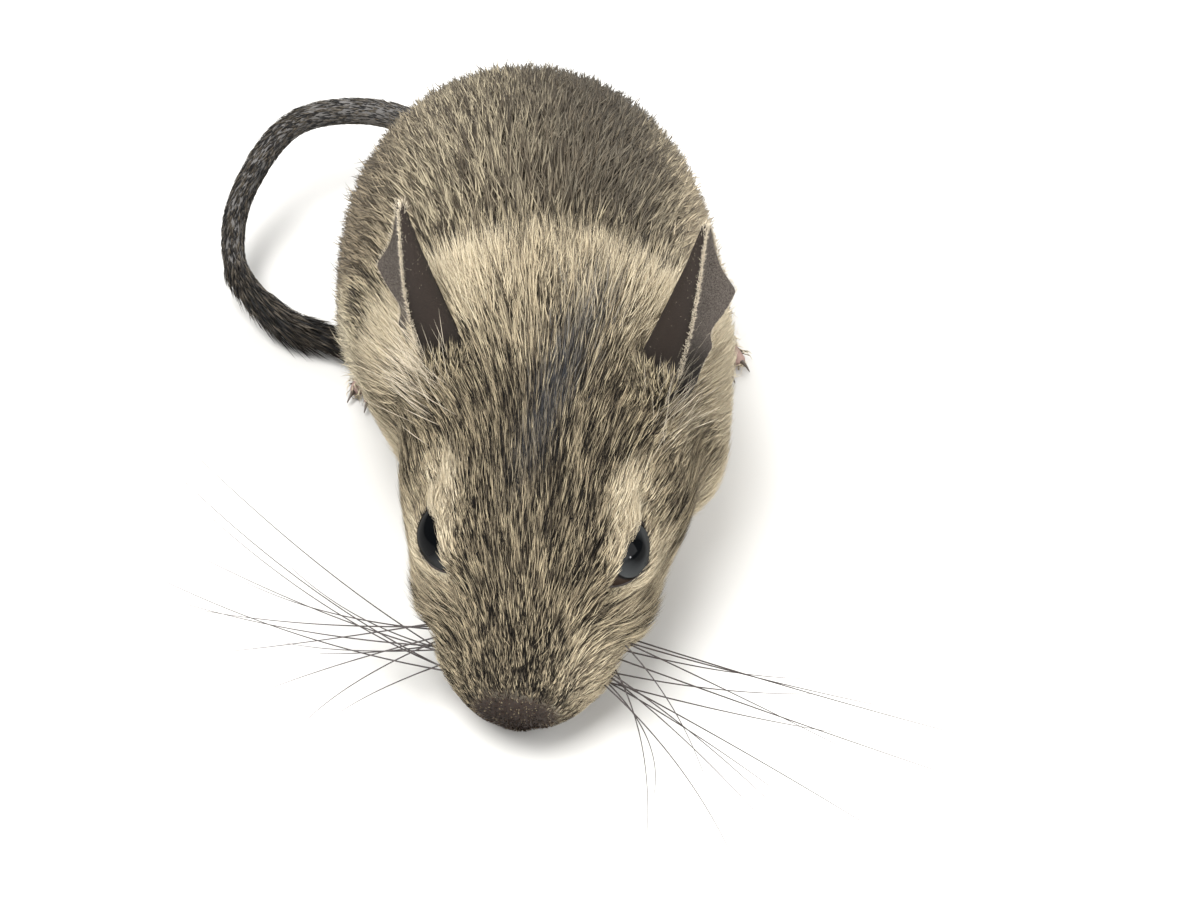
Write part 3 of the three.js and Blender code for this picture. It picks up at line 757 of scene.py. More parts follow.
def hairMaterial(name, roughness=0.6, **colours):
    material, tree, shader = newMaterial(name, Roughness=roughness, Specular_IOR_Level=hairLook["specular"])
    names = {key: key for key in maskNames}
    group = agoutiNode(tree, {**names, "along": "Along", "shade": "Shade"})
    for key, value in colours.items():
        group.inputs[key].default_value = value
    tint = mapRange(tree, noise(tree, hairLook["grain"]), *hairLook["grainRange"], *hairLook["tint"])
    grey = addNode(tree, "ShaderNodeCombineColor", {"Red": tint, "Green": tint, "Blue": tint})
    tinted = mixColour(tree, 1.0, group.outputs["Color"], grey.outputs[0], "MULTIPLY")
    tree.links.new(tinted, shader.inputs["Base Color"])
    return material


coatMaterial = hairMaterial("agoutiFur")
hide = {"roughness": 0.7, "streaks": (700.0, 4.0, 0.7), "along": 0.28, "pads": 1400.0, "padEdge": 0.6,
        "padLow": (0.30, 0.19, 0.16, 1), "padHigh": (0.42, 0.29, 0.25, 1)}


def skinMaterial():
    material, tree, shader = newMaterial("degusHide", Roughness=hide["roughness"])
    group = agoutiNode(tree, {key: key for key in maskNames})
    tree.links.new(noise(tree, *hide["streaks"]), group.inputs["Shade"])
    group.inputs["Along"].default_value = hide["along"]
    pads = addNode(tree, "ShaderNodeTexVoronoi", {"Scale": hide["pads"]}).outputs["Distance"]
    bare = mixColour(tree, mapRange(tree, pads, 0.0, hide["padEdge"]), hide["padLow"], hide["padHigh"])
    colour = mixColour(tree, attribute(tree, "bare"), group.outputs["Color"], bare)
    tree.links.new(colour, shader.inputs["Base Color"])
    bump(tree, shader, pads, 0.4, 0.0002)
    return material


skin = makeMesh("degu_skin", skinVerts, skinQuads, skinMaterial(), markings(skinVerts))
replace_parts(skin, "head", "neck", "torso", "hind_leg_left", "hind_leg_right", "foreleg_left", "foreleg_right")
print("skin made")

# Coat: thin tapered tufts that follow the lie of the fur

coat = {
    "share": 1.0,
    "headDensity": 33, "bodyDensity": 9.5, "underShare": 0.22,
    "muzzleLength": 1.2, "faceLength": 4.1, "napeLength": 5.4, "ruffLength": 7, "bodyLength": 5.4,
    "headWidth": 0.104, "bodyWidth": 0.2, "headWander": 0.17, "bodyWander": 0.26, "looser": 0.1,
    "clump": 0.25, "clumpSize": 8, "liftShare": 0.95, "ruffLift": 1.9, "mottle": 0.17, "warmth": 0.6,
    "guardShare": 0.06, "guardLonger": 0.2, "guardThinner": 0.3, "guardHigher": 0.35,
    "noseShorter": 0.7, "footShorter": 0.65, "footLower": 0.5, "eyeShorter": 0.35,
    "goldShare": 0.3, "muzzleShade": 0.2, "foreheadShade": 0.13,
    "rootMargin": 0.04, "lidOverlap": -0.04, "lidLength": 0.4, "lidNear": 6.5,
    "earFront": (11.5, -4.8, -4.5), "earLift": 2.4, "bedLift": 1.5, "bedLength": 1.7,
    "headCell": 0.18, "bodyCell": 0.45, "streakReach": 3.1, "streakShare": 0.5,
}


def whiskerBed(local):
    # One on the sides of the muzzle, where the fur stands out round the whiskers
    side = np.abs(local[:, 0] - noseMove[0])
    return ramp(4.8, 7.6, side) * ramp(-36, -32, local[:, 1]) * (1 - ramp(-28, -23, local[:, 1]))


lie = {"front": 39, "narrow": 2.5, "behind": 12, "fall": 0.8, "bristle": (1.3, 0, -0.2),
       "sideFall": 0.35, "spread": 0.035, "toes": (0, -1, -0.2)}


def flowAt(points, normals):
    # The way the fur lies: a fan from the nose over the face, a wider fan behind the crown, back
    # and down over the body, and round the eyes
    local = toHead(points)
    x, y, z = local.T
    behind = ramp(-14, -1, y)
    fan = (1 - behind) / np.maximum(y + lie["front"], lie["narrow"])
    fan = fan + behind / (np.maximum(y, -5) + lie["behind"])
    onHead = np.stack([x * fan, np.ones(len(fan)), lie["fall"] * (z + 8) * fan], 1)
    bristle = np.stack([np.sign(x), np.ones(len(x)), np.ones(len(x))], 1) * lie["bristle"]
    onHead = unit(onHead + bristle * whiskerBed(local)[:, None])
    for sign in (1, -1):
        near = 1 - ramp(5.5, 7.5, np.linalg.norm(local - eyeAt(sign), axis=1))
        near = near * (1 - ramp(0.1, 0.7, outsideOpening(local, sign)))
        away = openingSlope(local, sign)
        toward = np.minimum(np.sum(onHead * away, 1), 0)
        onHead = onHead - (toward * near)[:, None] * away
    onHead = unit(onHead) @ headTurn.T
    aside = points[:, 0] + 1.5
    fall = lie["sideFall"] * ramp(8, 20, np.abs(aside))
    onBody = np.stack([lie["spread"] * aside, np.ones(len(x)), -fall], 1)
    share = ramp(4, 20, points[:, 1])[:, None]
    flow = unit(onHead) * (1 - share) + unit(onBody) * share
    low = (1 - ramp(1.5, 5, points[:, 2]))[:, None] * (points[:, 1:2] > 0)
    flow = flow * (1 - low) + np.array(lie["toes"]) * low
    flow = flow - normals * np.sum(flow * normals, 1, keepdims=True)
    return unit(flow)


def drawRoots(density):
    # Even random places on the skin, so many to each square millimetre
    a, b, c = (skinVerts[skinTriangles[:, k]] for k in range(3))
    area = np.linalg.norm(np.cross(b - a, c - a), axis=1) / 2
    wanted = np.cumsum(area * density((a + b + c) / 3))
    count = int(wanted[-1])
    picks = np.searchsorted(wanted, (np.arange(count) + rng.random(count)) * wanted[-1] / count)
    picks = np.minimum(picks, len(skinTriangles) - 1)
    r1, r2 = np.sqrt(rng.random(count)), rng.random(count)
    weights = np.stack([1 - r1, r1 * (1 - r2), r1 * r2], 1)
    corner = skinTriangles[picks]
    roots = np.einsum("nk,nkd->nd", weights, skinVerts[corner])
    normals = unit(np.einsum("nk,nkd->nd", weights, skinNormals[corner]))
    return roots, normals


def openingMargin(points):
    local = toHead(points)
    return np.minimum(outsideOpening(local, 1), outsideOpening(local, -1))


def coatDensity(points):
    local = toHead(points)
    onHead = 1 - ramp(4, 12, points[:, 1])
    density = between(coat["bodyDensity"], coat["headDensity"], onHead)
    under = 1 - ramp(-17, -11, local[:, 2]) * onHead
    belly = 1 - ramp(4, 9, points[:, 2])
    density = density * (1 - (1 - coat["underShare"]) * np.maximum(under * onHead, belly * (1 - onHead)))
    density[points[:, 2] < 0.6] = 0  # none under the soles and the belly
    return density * coat["share"]


streakTable = rng.random((64, 64, 64))


def latticeNoise(points, cell):
    # Smooth random values on a lattice of cells, repeating with the table
    place = points / cell
    low = np.floor(place).astype(int)
    total = 0
    for corner, weight in cornerWeights(ramp(0, 1, place - low)):
        total = total + weight * streakTable[tuple(((low + corner) % len(streakTable)).T)]
    return total


def streaks(points, flow, cell):
    # Noise drawn out along the lie of the fur, so neighbouring hairs make one streak of colour
    total = np.zeros(len(points))
    for way in np.linspace(-0.5, 0.5, 13):
        total += latticeNoise(points + flow * way * coat["streakReach"], cell)
    return evenShares(total)


def evenShares(values):
    # The rank of each value, from 0 to 1
    shares = np.empty(len(values))
    shares[np.argsort(values)] = np.linspace(0, 1, len(values))
    return shares


def nearestCentres(points, centres):
    tree = KDTree(len(centres))
    for i, centre in enumerate(centres):
        tree.insert(centre, i)
    tree.balance()
    return np.array([tree.find(point)[1] for point in points])


strandShape = {"middlePull": 0.35, "middleLift": 0.62, "farthest": 3, "lowest": 0.25}


def strands(roots, normals, flow, length, lift):
    # Middle and tip of each hair, bent to stay the wanted height over the skin
    count = len(roots)
    middle = roots + flow * (length * 0.5)[:, None]
    tip = roots + flow * length[:, None]
    centres = rng.choice(count, count // coat["clumpSize"], replace=False)
    nearest = centres[nearestCentres(roots, roots[centres])]
    reach = np.linalg.norm(roots - roots[nearest], axis=1)
    pull = coat["clump"] * np.exp(-reach / np.maximum(length, 0.1))[:, None]
    tip += (roots[nearest] - roots + (flow[nearest] - flow) * length[:, None]) * pull
    middle += (roots[nearest] - roots) * pull * strandShape["middlePull"]
    for spot, height in ((middle, lift * strandShape["middleLift"]), (tip, lift)):
        over = np.clip(sampleField(skinField, spot), -strandShape["farthest"], strandShape["farthest"])
        spot += normals * (height - over)[:, None]
        spot[:, 2] = np.maximum(spot[:, 2], strandShape["lowest"])
    return middle, tip


tuft = {"rise": 0.3, "sunk": 0.12, "lowest": 0.2, "rootWidth": 0.8, "patch": 0.003}
tuftFaces = np.array([[2, 1, 0], [0, 1, 4], [0, 4, 3], [1, 2, 5], [1, 5, 4], [2, 0, 3], [2, 3, 5],
                      [3, 4, 6], [4, 5, 6], [5, 3, 6]])
tuftAlong = np.array([0, 0, 0, 0.5, 0.5, 0.5, 1])
tuftAcross = np.array([-0.5, 0.5, 0, -0.5, 0.5, 0, 0])


def hairMesh(name, material, hairs, masks, place, slot="coat"):
    # One closed tapered tuft for each hair, and a small patch for it at its own place in the layout
    roots, middle, tip, normals, width = hairs
    count, corners = len(roots), len(tuftAlong)
    side = unit(np.cross(normals, tip - roots)) * (width / 2)[:, None]
    rise = normals * (width * tuft["rise"])[:, None]
    sunk = roots - normals * tuft["sunk"]
    sunk[:, 2] = np.maximum(sunk[:, 2], tuft["lowest"])
    rings = []
    for spot, scale in ((sunk, tuft["rootWidth"]), (middle, 1.0)):
        rings += [spot - side * scale, spot + side * scale, spot + rise * scale]
    verts = np.stack([*rings, tip], 1).reshape(-1, 3)
    faces = (tuftFaces[None] + corners * np.arange(count)[:, None, None]).reshape(-1, 3)
    uv = place[:, None] + np.stack([tuftAcross, tuftAlong], 1)[None] * tuft["patch"]
    attributes = {key: np.repeat(value, corners) for key, value in masks.items()}
    attributes["along"] = np.tile(tuftAlong, count)
    return makeMesh(name, verts, faces, material, attributes, uv.reshape(-1, 2), slot)


def spread(*ways):
    # Two rows of values as places that fill the layout
    place = np.stack(ways, 1)
    low, high = place.min(0), place.max(0)
    return 0.02 + 0.96 * (place - low) / np.maximum(high - low, 1e-6)


bodyLine = {"y": (-25, 5, 40), "x": (0, 0, -3.5), "z": (12, 24, 20)}


def unwrapBody(points):
    # Round the body's own length for one way and along it for the other
    x, y, z = points.T
    middleX = np.interp(y, bodyLine["y"], bodyLine["x"])
    middleZ = np.interp(y, bodyLine["y"], bodyLine["z"])
    return spread(np.arctan2(x - middleX, z - middleZ) / (2 * np.pi) + 0.5, y)


def coatLength(local, points):
    length = between(coat["muzzleLength"], coat["faceLength"], ramp(-36, -20, local[:, 1]))
    length += (coat["napeLength"] - coat["faceLength"]) * ramp(-8, 3, local[:, 1])
    length += (coat["bodyLength"] - coat["napeLength"]) * ramp(8, 20, points[:, 1])
    length += (coat["ruffLength"] - coat["napeLength"]) * ruffShare(local)
    length += coat["bedLength"] * whiskerBed(local)
    return length * (1 - coat["eyeShorter"] * (1 - ramp(4.6, 7.5, nearEye(points))))


def shadeShift(local):
    # The top of the muzzle and the forehead are darker than the rest of the face
    aside = np.abs(local[:, 0])
    top = ramp(-26, -31, local[:, 1]) * (1 - ramp(3, 6.5, aside))
    front = ramp(-27, -21, local[:, 1]) * (1 - ramp(-4, 0, local[:, 1])) * (1 - ramp(5, 9, aside))
    return coat["muzzleShade"] * top + coat["foreheadShade"] * front


def makeCoat():
    roots, normals = drawRoots(coatDensity)
    keep = openingMargin(roots) > coat["rootMargin"]
    roots, normals = roots[keep], normals[keep]
    count = len(roots)
    local = toHead(roots)
    length, ruff = coatLength(local, roots), ruffShare(local)
    masks = markings(roots + rng.normal(0, 1, (count, 3)) * (length * coat["mottle"])[:, None])
    onHead = 1 - ramp(4, 16, roots[:, 1])
    wander = between(coat["bodyWander"], coat["headWander"], onHead) + coat["looser"] * ruff
    wander = wander + coat["looser"] * ramp(-24, -30, local[:, 1])
    sway = rng.normal(0, 1, (count, 3)) * wander[:, None]
    flow = unit(flowAt(roots, normals) + sway - normals * np.sum(sway * normals, 1, keepdims=True))
    guard = rng.random(count) < coat["guardShare"]
    length = length * rng.uniform(0.75, 1.2, count) * (1 + coat["guardLonger"] * guard)
    length *= (1 - coat["noseShorter"] * masks["nose"]) * (1 - coat["footShorter"] * masks["bare"])
    width = between(coat["bodyWidth"], coat["headWidth"], onHead)
    width = width * rng.uniform(0.75, 1.25, count) * (1 - coat["guardThinner"] * guard)
    lift = depthAt(roots) * coat["liftShare"] * rng.uniform(0.45, 1.2, count)
    lift = lift * (1 - coat["footLower"] * masks["bare"]) * (1 + coat["guardHigher"] * guard)
    beforeEar = np.maximum.reduce([blob(local, mirrored(coat["earFront"], s), (5, 4, 5)) for s in (1, -1)])
    lift = lift + coat["ruffLift"] * ruff + coat["earLift"] * beforeEar
    lift = lift + coat["bedLift"] * whiskerBed(local) * rng.random(count)
    middle, tip = strands(roots, normals, flow, length, lift)
    # Hairs that reach over an eye's opening are cut short, and those that still do are left out
    over = (openingMargin(tip) < coat["lidOverlap"]) & (nearEye(tip) < coat["lidNear"])
    for spot in (middle, tip):
        spot[over] = roots[over] + (spot[over] - roots[over]) * coat["lidLength"]
    clear = ~over | (openingMargin(tip) > coat["lidOverlap"])
    hairs = [values[clear] for values in (roots, middle, tip, normals, width)]
    local, flow, onHead = local[clear], flow[clear], onHead[clear]
    masks = {key: values[clear] for key, values in masks.items()}
    count = len(local)
    seen = hairs[1] * 0.4 + hairs[2] * 0.6
    streak = (streaks(seen, flow, coat["headCell"]) * onHead
              + streaks(seen, flow, coat["bodyCell"]) * (1 - onHead))
    masks["tan"] = np.maximum(masks["tan"], coat["warmth"] * rng.random(count) * onHead)
    masks["nose"] = masks["nose"] * (rng.random(count) > coat["goldShare"])
    alone = rng.random(count) * (1 - coat["streakShare"])
    masks["shade"] = evenShares(streak * coat["streakShare"] + alone) - shadeShift(local)
    x, y = local[:, 0], local[:, 1]
    across, back = hairs[0][:, 0], hairs[0][:, 1]
    regions = {
        "coat_muzzle_left": (y < -24) & (onHead > 0.9) & (x > 0),
        "coat_muzzle_right": (y < -24) & (onHead > 0.9),
        "coat_face_left": (y < -9) & (onHead > 0.9) & (x > 0),
        "coat_face_right": (y < -9) & (onHead > 0.9),
        "coat_crown_left": (onHead > 0.5) & (x > 0),
        "coat_crown_right": onHead > 0.5,
        "coat_back_left": (back < 34) & (across > -1.5),
        "coat_back_right": back < 34,
        "coat_rump_left": across > -3.5,
        "coat_rump_right": np.ones(count, bool),
    }
    left = np.ones(count, bool)
    for name, inside in regions.items():
        part = left & inside
        left &= ~inside
        some = {key: value[part] for key, value in masks.items()}
        rows = [values[part] for values in hairs]
        hairMesh(name, coatMaterial, rows, some, unwrapBody(rows[0]))
        print(name, int(part.sum()), "hairs")


makeCoat()
print("coat made")

# Eyes and their lids

# The grey band from the iris out to the black line is a painted reflection; each eye's bands move by their own
# amount, so it is wider on the left eye
eyeLook = {
    "segments": 96, "rings": 72, "bulge": (0.03, 0.5), "back": 0.14, "raised": 0.24,
    "paintedReflectionShift": {"left": 0.12, "right": -0.26}, "paintedReflection": 0.36, "edge": 0.86, "line": 0.03,
    "white": (0.06, 0.12), "black": (0.002, 0.002, 0.002, 1),
    "irisLow": (0.0008, 0.001, 0.0013, 1), "irisHigh": (0.003, 0.0036, 0.0043, 1),
    "paintedReflectionLow": (0.03, 0.033, 0.035, 1), "paintedReflectionHigh": (0.075, 0.079, 0.081, 1),
    "whiteLow": (0.018, 0.012, 0.009, 1), "whiteHigh": (0.05, 0.034, 0.026, 1),
}
# Section of a lid: angle past the opening's edge, and height over the ball
lidProfile = [(0.06, -0.5), (0, -0.1), (-0.012, 0.04), (0, 0.14), (0.025, 0.2), (0.05, 0.18),
              (0.075, 0.05), (0.09, -0.3)]
lidSegments = 72
lidFinish = {"roughness": 0.45, "scale": 1500.0, "detail": 3.0, "relief": 0.5,
             "low": (0.018, 0.014, 0.012, 1), "high": (0.07, 0.055, 0.048, 1)}


def eyeMaterial():
    # A black pupil in a dark iris, with a painted grey reflection towards its edge, a thin black line round it
    # and brown beyond
    material, tree, shader = newMaterial("darkEye", Roughness=0.35, Coat_Weight=0.22, Coat_Roughness=0.05,
                                         Coat_IOR=1.4, Specular_IOR_Level=0.0)
    out = attribute(tree, "out")
    cloud = noise(tree, 500.0, 4.0)
    edge = eyeLook["edge"]
    iris = mixColour(tree, cloud, eyeLook["irisLow"], eyeLook["irisHigh"])
    # Painted reflection: a pale grey standing for the surroundings mirrored near the eye's edge
    paintedReflection = mixColour(tree, cloud, eyeLook["paintedReflectionLow"], eyeLook["paintedReflectionHigh"])
    white = mixColour(tree, cloud, eyeLook["whiteLow"], eyeLook["whiteHigh"])
    colour = mixColour(tree, mapRange(tree, out, eyeLook["paintedReflection"], edge), iris, paintedReflection)
    colour = mixColour(tree, mapRange(tree, out, edge, edge + eyeLook["line"]), colour, eyeLook["black"])
    whiteFrom, whiteTo = eyeLook["white"]
    colour = mixColour(tree, mapRange(tree, out, edge + whiteFrom, edge + whiteTo), colour, white)
    tree.links.new(colour, shader.inputs["Base Color"])
    return material


def makeEye(name, sign, eyeSkin, lidSkin):
    theta = np.linspace(0, np.pi, eyeLook["rings"])[:, None]
    phi = np.linspace(0, 2 * np.pi, eyeLook["segments"], endpoint=False)[None]
    look, ahead, up = eyeFrame(sign)
    height, width = eyeLook["bulge"]
    bulge = 1 + height * np.exp(-(theta / width) ** 2)
    out = (np.cos(theta) * bulge + 0 * phi)[..., None] * look
    out = out + (np.sin(theta) * bulge * np.cos(phi))[..., None] * ahead
    out = out + (np.sin(theta) * bulge * np.sin(phi))[..., None] * up * sign
    verts = fromHead(eyeAt(sign) + out.reshape(-1, 3) * eye["radius"])
    gaze = unit(look - ahead * eyeLook["back"] + up * eyeLook["raised"])
    # Each eye's bands move by their own amount, so the painted reflection is wider on the left eye than on the
    # right
    turned = np.arccos(np.clip(unit(out.reshape(-1, 3)) @ gaze, -1, 1)) + eyeLook["paintedReflectionShift"][name]
    ball = makeMesh(f"eyeball_{name}", verts, gridFaces(eyeLook["rings"], eyeLook["segments"]), eyeSkin,
                    {"out": turned}, slot="eye")
    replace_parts(ball, f"eye_{name}")
    phi = np.linspace(0, 2 * np.pi, lidSegments, endpoint=False)
    rows = []
    for wider, height in lidProfile + lidProfile[:1]:
        away = openingReach(phi, sign) + wider
        q = (np.cos(away)[:, None] * look + (np.sin(away) * np.cos(phi))[:, None] * ahead
             + (np.sin(away) * np.sin(phi))[:, None] * up)
        rows.append(eyeAt(sign) + q * (eye["radius"] + height))
    verts = fromHead(np.concatenate(rows))
    makeMesh(f"eyelid_{name}", verts, gridFaces(len(rows), lidSegments), lidSkin, slot="ear_skin")


eyeSkin, lidSkin = eyeMaterial(), grainedMaterial("lidSkin", **lidFinish)
for name, sign in (("left", 1), ("right", -1)):
    makeEye(name, sign, eyeSkin, lidSkin)
print("eyes made")

# Ears: a thin cup with a pale haired front rim and a pointed lobe behind, with painted shade on its outer face.
# Each pair of widths is a share of the way up the rim and a width there, in to the fold or out to the lobe.

ear = {
    "root": (13.4, 0, -3), "tip": (15.3, 13.5, 7.5), "base": -0.35, "tuck": 3, "depth": 4.4,
    "thickness": 0.42,
    "inner": [(0, 4.2), (0.13, 4.2), (0.23, 3.8), (0.4, 3.1), (0.6, 2.2), (0.75, 1.45), (0.9, 0.8),
              (1, 0.35)],
    "outer": [(0, 1.9), (0.1, 2.2), (0.18, 2.6), (0.25, 2.0), (0.31, 2.2), (0.383, 2.8), (0.477, 3.35),
              (0.57, 3.7), (0.62, 3), (0.7, 1.95), (0.8, 1.2), (0.93, 0.55), (1, 0.3)],
    "rows": 90, "columns": 56, "last": 0.995, "sway": 0.35, "bend": 1.6, "thinner": 0.4,
}
# The darkest ear colour is painted shade, laid on the outer face at its foot, along its front rim, at its fold
# and over its lobe
earLook = {
    "outerLow": (0.009, 0.006, 0.0042, 1), "outerHigh": (0.026, 0.017, 0.0125, 1),
    "innerLow": (0.04, 0.032, 0.027, 1), "innerHigh": (0.17, 0.145, 0.125, 1),
    "paintedShade": (0.004, 0.003, 0.0025, 1), "flecks": (0.055, 0.041, 0.033, 1),
}


def widthsAt(table, u):
    places, widths = np.array(table).T
    return np.mean([np.interp(u + soft, places, widths) for soft in (-0.02, 0, 0.02)], axis=0)


def earFrame(sign):
    root, tip = fromHead([mirrored(ear["root"], sign), mirrored(ear["tip"], sign)])
    axis = unit(tip - root)
    aside = headTurn @ np.array([sign, 0, 0])
    lateral = unit(aside - axis * (aside @ axis))
    forward = np.cross(lateral, axis) * sign
    return root, tip, lateral, forward


def earPoints(sign, u, v):
    # u runs from the base to the tip, v from the front rim over the fold to the rear rim
    root, tip, lateral, forward = earFrame(sign)
    inner, outer = widthsAt(ear["inner"], u), widthsAt(ear["outer"], u)
    up = np.maximum(u, 0)
    taper = np.sqrt(np.clip(1 - up**4, 0, 1))
    depth = ear["depth"] * (0.5 + 0.5 * np.sin(np.pi * np.clip(up * 1.15, 0, 1))) * taper
    tucked = ear["tuck"] * (np.minimum(u, 0) / ear["base"]) ** 2
    bend = np.abs(v) ** ear["bend"]
    across = -inner + np.where(v < 0, inner, inner + outer) * bend - tucked
    rise = -np.sin(v * np.pi / 2) * depth / 2
    sway = ear["sway"] * np.sin(np.pi * up)
    along = root + (tip - root) * u[:, None]
    return along + lateral * (across + sway)[:, None] + forward * rise[:, None]


def earMaterial():
    material, tree, shader = newMaterial("earSkin", Roughness=0.62, Specular_IOR_Level=0.25)
    grain = noise(tree, 1800.0, 4.0)
    patches = mapRange(tree, noise(tree, 160.0, 3.0), 0.35, 0.65)
    outer = mixColour(tree, patches, earLook["outerLow"], earLook["outerHigh"])
    # Painted shade darkens the outer face at its foot, along its front rim, at its fold and over most of its
    # lobe
    outer = mixColour(tree, attribute(tree, "paintedShade"), outer, earLook["paintedShade"])
    outer = mixColour(tree, mapRange(tree, grain, 0.5, 0.8), outer, earLook["flecks"])
    inner = mixColour(tree, patches, earLook["innerLow"], earLook["innerHigh"])
    colour = mixColour(tree, attribute(tree, "inner"), outer, inner)
    tree.links.new(colour, shader.inputs["Base Color"])
    bump(tree, shader, grain, 0.5, 0.00008)
    return material


def earNormals(sign, u, v):
    # Out of the outer face
    step = 0.01
    alongV = earPoints(sign, u, np.clip(v + step, -1, 1)) - earPoints(sign, u, np.clip(v - step, -1, 1))
    alongU = earPoints(sign, np.clip(u + step, -1, 1), v) - earPoints(sign, u - step, v)
    return unit(np.cross(alongU, alongV)) * sign


def makeEar(name, sign, material):
    # The loop of each row runs over the outer face and back over the inner one
    half = ear["columns"]
    count = 2 * half
    v = np.concatenate([np.cos(np.linspace(np.pi, 0, half, endpoint=False)),
                        np.cos(np.linspace(0, np.pi, half, endpoint=False))])
    inner = np.arange(count) >= half
    rows, innerShare, paintedShade = [], [], []
    places = np.linspace(ear["base"], ear["last"], ear["rows"])
    for u in places:
        uu = np.full(count, u)
        outward = earNormals(sign, uu, v)
        thick = ear["thickness"] * (1 - ear["thinner"] * max(u, 0)) * np.sqrt(np.clip(1 - v**12, 0.03, 1)) / 2
        rows.append(earPoints(sign, uu, v) + outward * (thick * np.where(inner, -1, 1))[:, None])
        innerShare.append(inner * ramp(0.02, 0.3, u + 0 * v))
        # Painted shade: full at the foot; higher up, strongest along the front rim, at the fold and over the
        # lobe, and none midway between rim and fold
        paintedShade.append(1 - ramp(0, 0.3, u) * (1 - np.abs(2 * np.minimum(v, 0) + 1) ** 3 * 0.8))
    faces = gridFaces(len(places), count)
    i = np.arange(half - 1)
    ends = []
    for row, flip in ((0, False), (len(places) - 1, True)):
        quad = row * count + np.stack([i, i + 1, (count - i - 1) % count, (count - i) % count], 1)
        ends.append(quad if flip else quad[:, ::-1])
    faces = np.concatenate([faces, *ends])
    piece = makeMesh(f"ear_cup_{name}", np.concatenate(rows), faces, material,
                     {"inner": np.concatenate(innerShare), "paintedShade": np.concatenate(paintedShade)}, slot="ear_skin")
    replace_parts(piece, f"ear_{name}")


# Hairs of the ears. "up" and "round" say where on the cup they stand, "lean" how far they lean to the
# side and to the front, each by chance and for all.
earHair = {
    "foot": {"count": 2400, "length": 3.4, "width": 0.11, "cream": 0, "up": (-0.34, -0.02),
             "lean": (0.35, 0, 0, 0)},
    "rim": {"count": 2200, "length": 0.55, "width": 0.045, "cream": 1, "round": (-0.995, -0.95),
            "lean": (0.9, 0, 0, 0.7)},
    "edge": {"count": 260, "length": 0.5, "width": 0.05, "cream": 1, "at": 0.99, "lean": (0, 0.8, 1, 0)},
    "specks": {"count": 900, "length": 0.3, "width": 0.04, "cream": 0.25, "lean": (0.5, 0, 0, 0)},
    "spray": {"count": 210, "length": 8.5, "width": 0.085, "cream": 1},
    "tuft": {"count": 60, "length": 1.3, "width": 0.06, "cream": 1, "up": (0.93, 0.99),
             "lean": (0.6, 0, 0, 0.3)},
}
earSpray = {"at": {"left": (12.9, -2.6, -4.8), "right": (12.6, -3.6, -4.8)}, "size": (2.2, 3.6, 3),
            "turn": {"left": (-0.25, 0.55), "right": (-0.05, 0.75)}, "front": (0, 0.35)}
earFur = hairMaterial("earFur", 0.55, Cream=(0.66, 0.58, 0.45, 1), Light=(0.38, 0.32, 0.24, 1),
                      Under=(0.25, 0.21, 0.16, 1))


def earHairRows(kind, name, sign):
    look, count = earHair[kind], earHair[kind]["count"]
    root, tip, lateral, forward = earFrame(sign)
    axis = unit(tip - root)
    u, v = rng.uniform(0.02, 0.97, count), rng.uniform(-0.96, 0.96, count)
    face = np.where(rng.random(count) < 0.5, 1.0, -1.0)
    across = rng.normal(0, 0.5, count)[:, None]
    if "up" in look:
        u = rng.uniform(*look["up"], count)
    if "round" in look:
        v = rng.uniform(*look["round"], count)
    if "at" in look:
        v = np.full(count, look["at"])
    if kind == "spray":
        turn = rng.uniform(*earSpray["turn"][name], count)[:, None]
        front = rng.uniform(*earSpray["front"], count)[:, None]
        flow = axis * np.cos(turn) + lateral * np.sin(turn) + forward * front
        near = blob(toHead(skinVerts), mirrored(earSpray["at"][name], sign), earSpray["size"])
        picks = rng.choice(len(skinVerts), count, p=near / near.sum())
        places, normals = skinVerts[picks], skinNormals[picks]
    else:
        aside, allAside, ahead, allAhead = look["lean"]
        flow = axis + lateral * (across * aside + allAside) + forward * (across * ahead + allAhead)
        places, normals = earPoints(sign, u, v), earNormals(sign, u, v)
    outward = normals if kind in ("spray", "foot") else normals * face[:, None]
    flow = unit(flow + outward * 0.25 + rng.normal(0, 0.12, (count, 3)))
    length = (look["length"] * rng.uniform(0.5, 1.2, count))[:, None]
    roots = places + outward * ear["thickness"] * 0.2
    middle = roots + flow * length * 0.5 + outward * length * 0.04
    width = look["width"] * rng.uniform(0.8, 1.2, count)
    return roots, middle, roots + flow * length, outward, width, np.full(count, look["cream"]), v, u


def makeEarHair(name, sign):
    # Fur round the foot, fine pale hairs on the rims and faces, and a spray of long ones before it
    rows = {kind: earHairRows(kind, name, sign) for kind in earHair}
    furRows = [rows.pop("foot")]
    for label, material, some in (("fur", coatMaterial, furRows), ("hair", earFur, list(rows.values()))):
        *hairs, cream, v, u = (np.concatenate(values) for values in zip(*some))
        masks = {key: np.zeros(len(u)) for key in maskNames}
        masks["cream"] = cream
        masks["shade"] = rng.random(len(u))
        hairMesh(f"ear_{label}_{name}", material, hairs, masks, spread(v, u))


earSkin = earMaterial()
for name, sign in (("left", 1), ("right", -1)):
    makeEar(name, sign, earSkin)
    makeEarHair(name, sign)
print("ears made")

# Whiskers

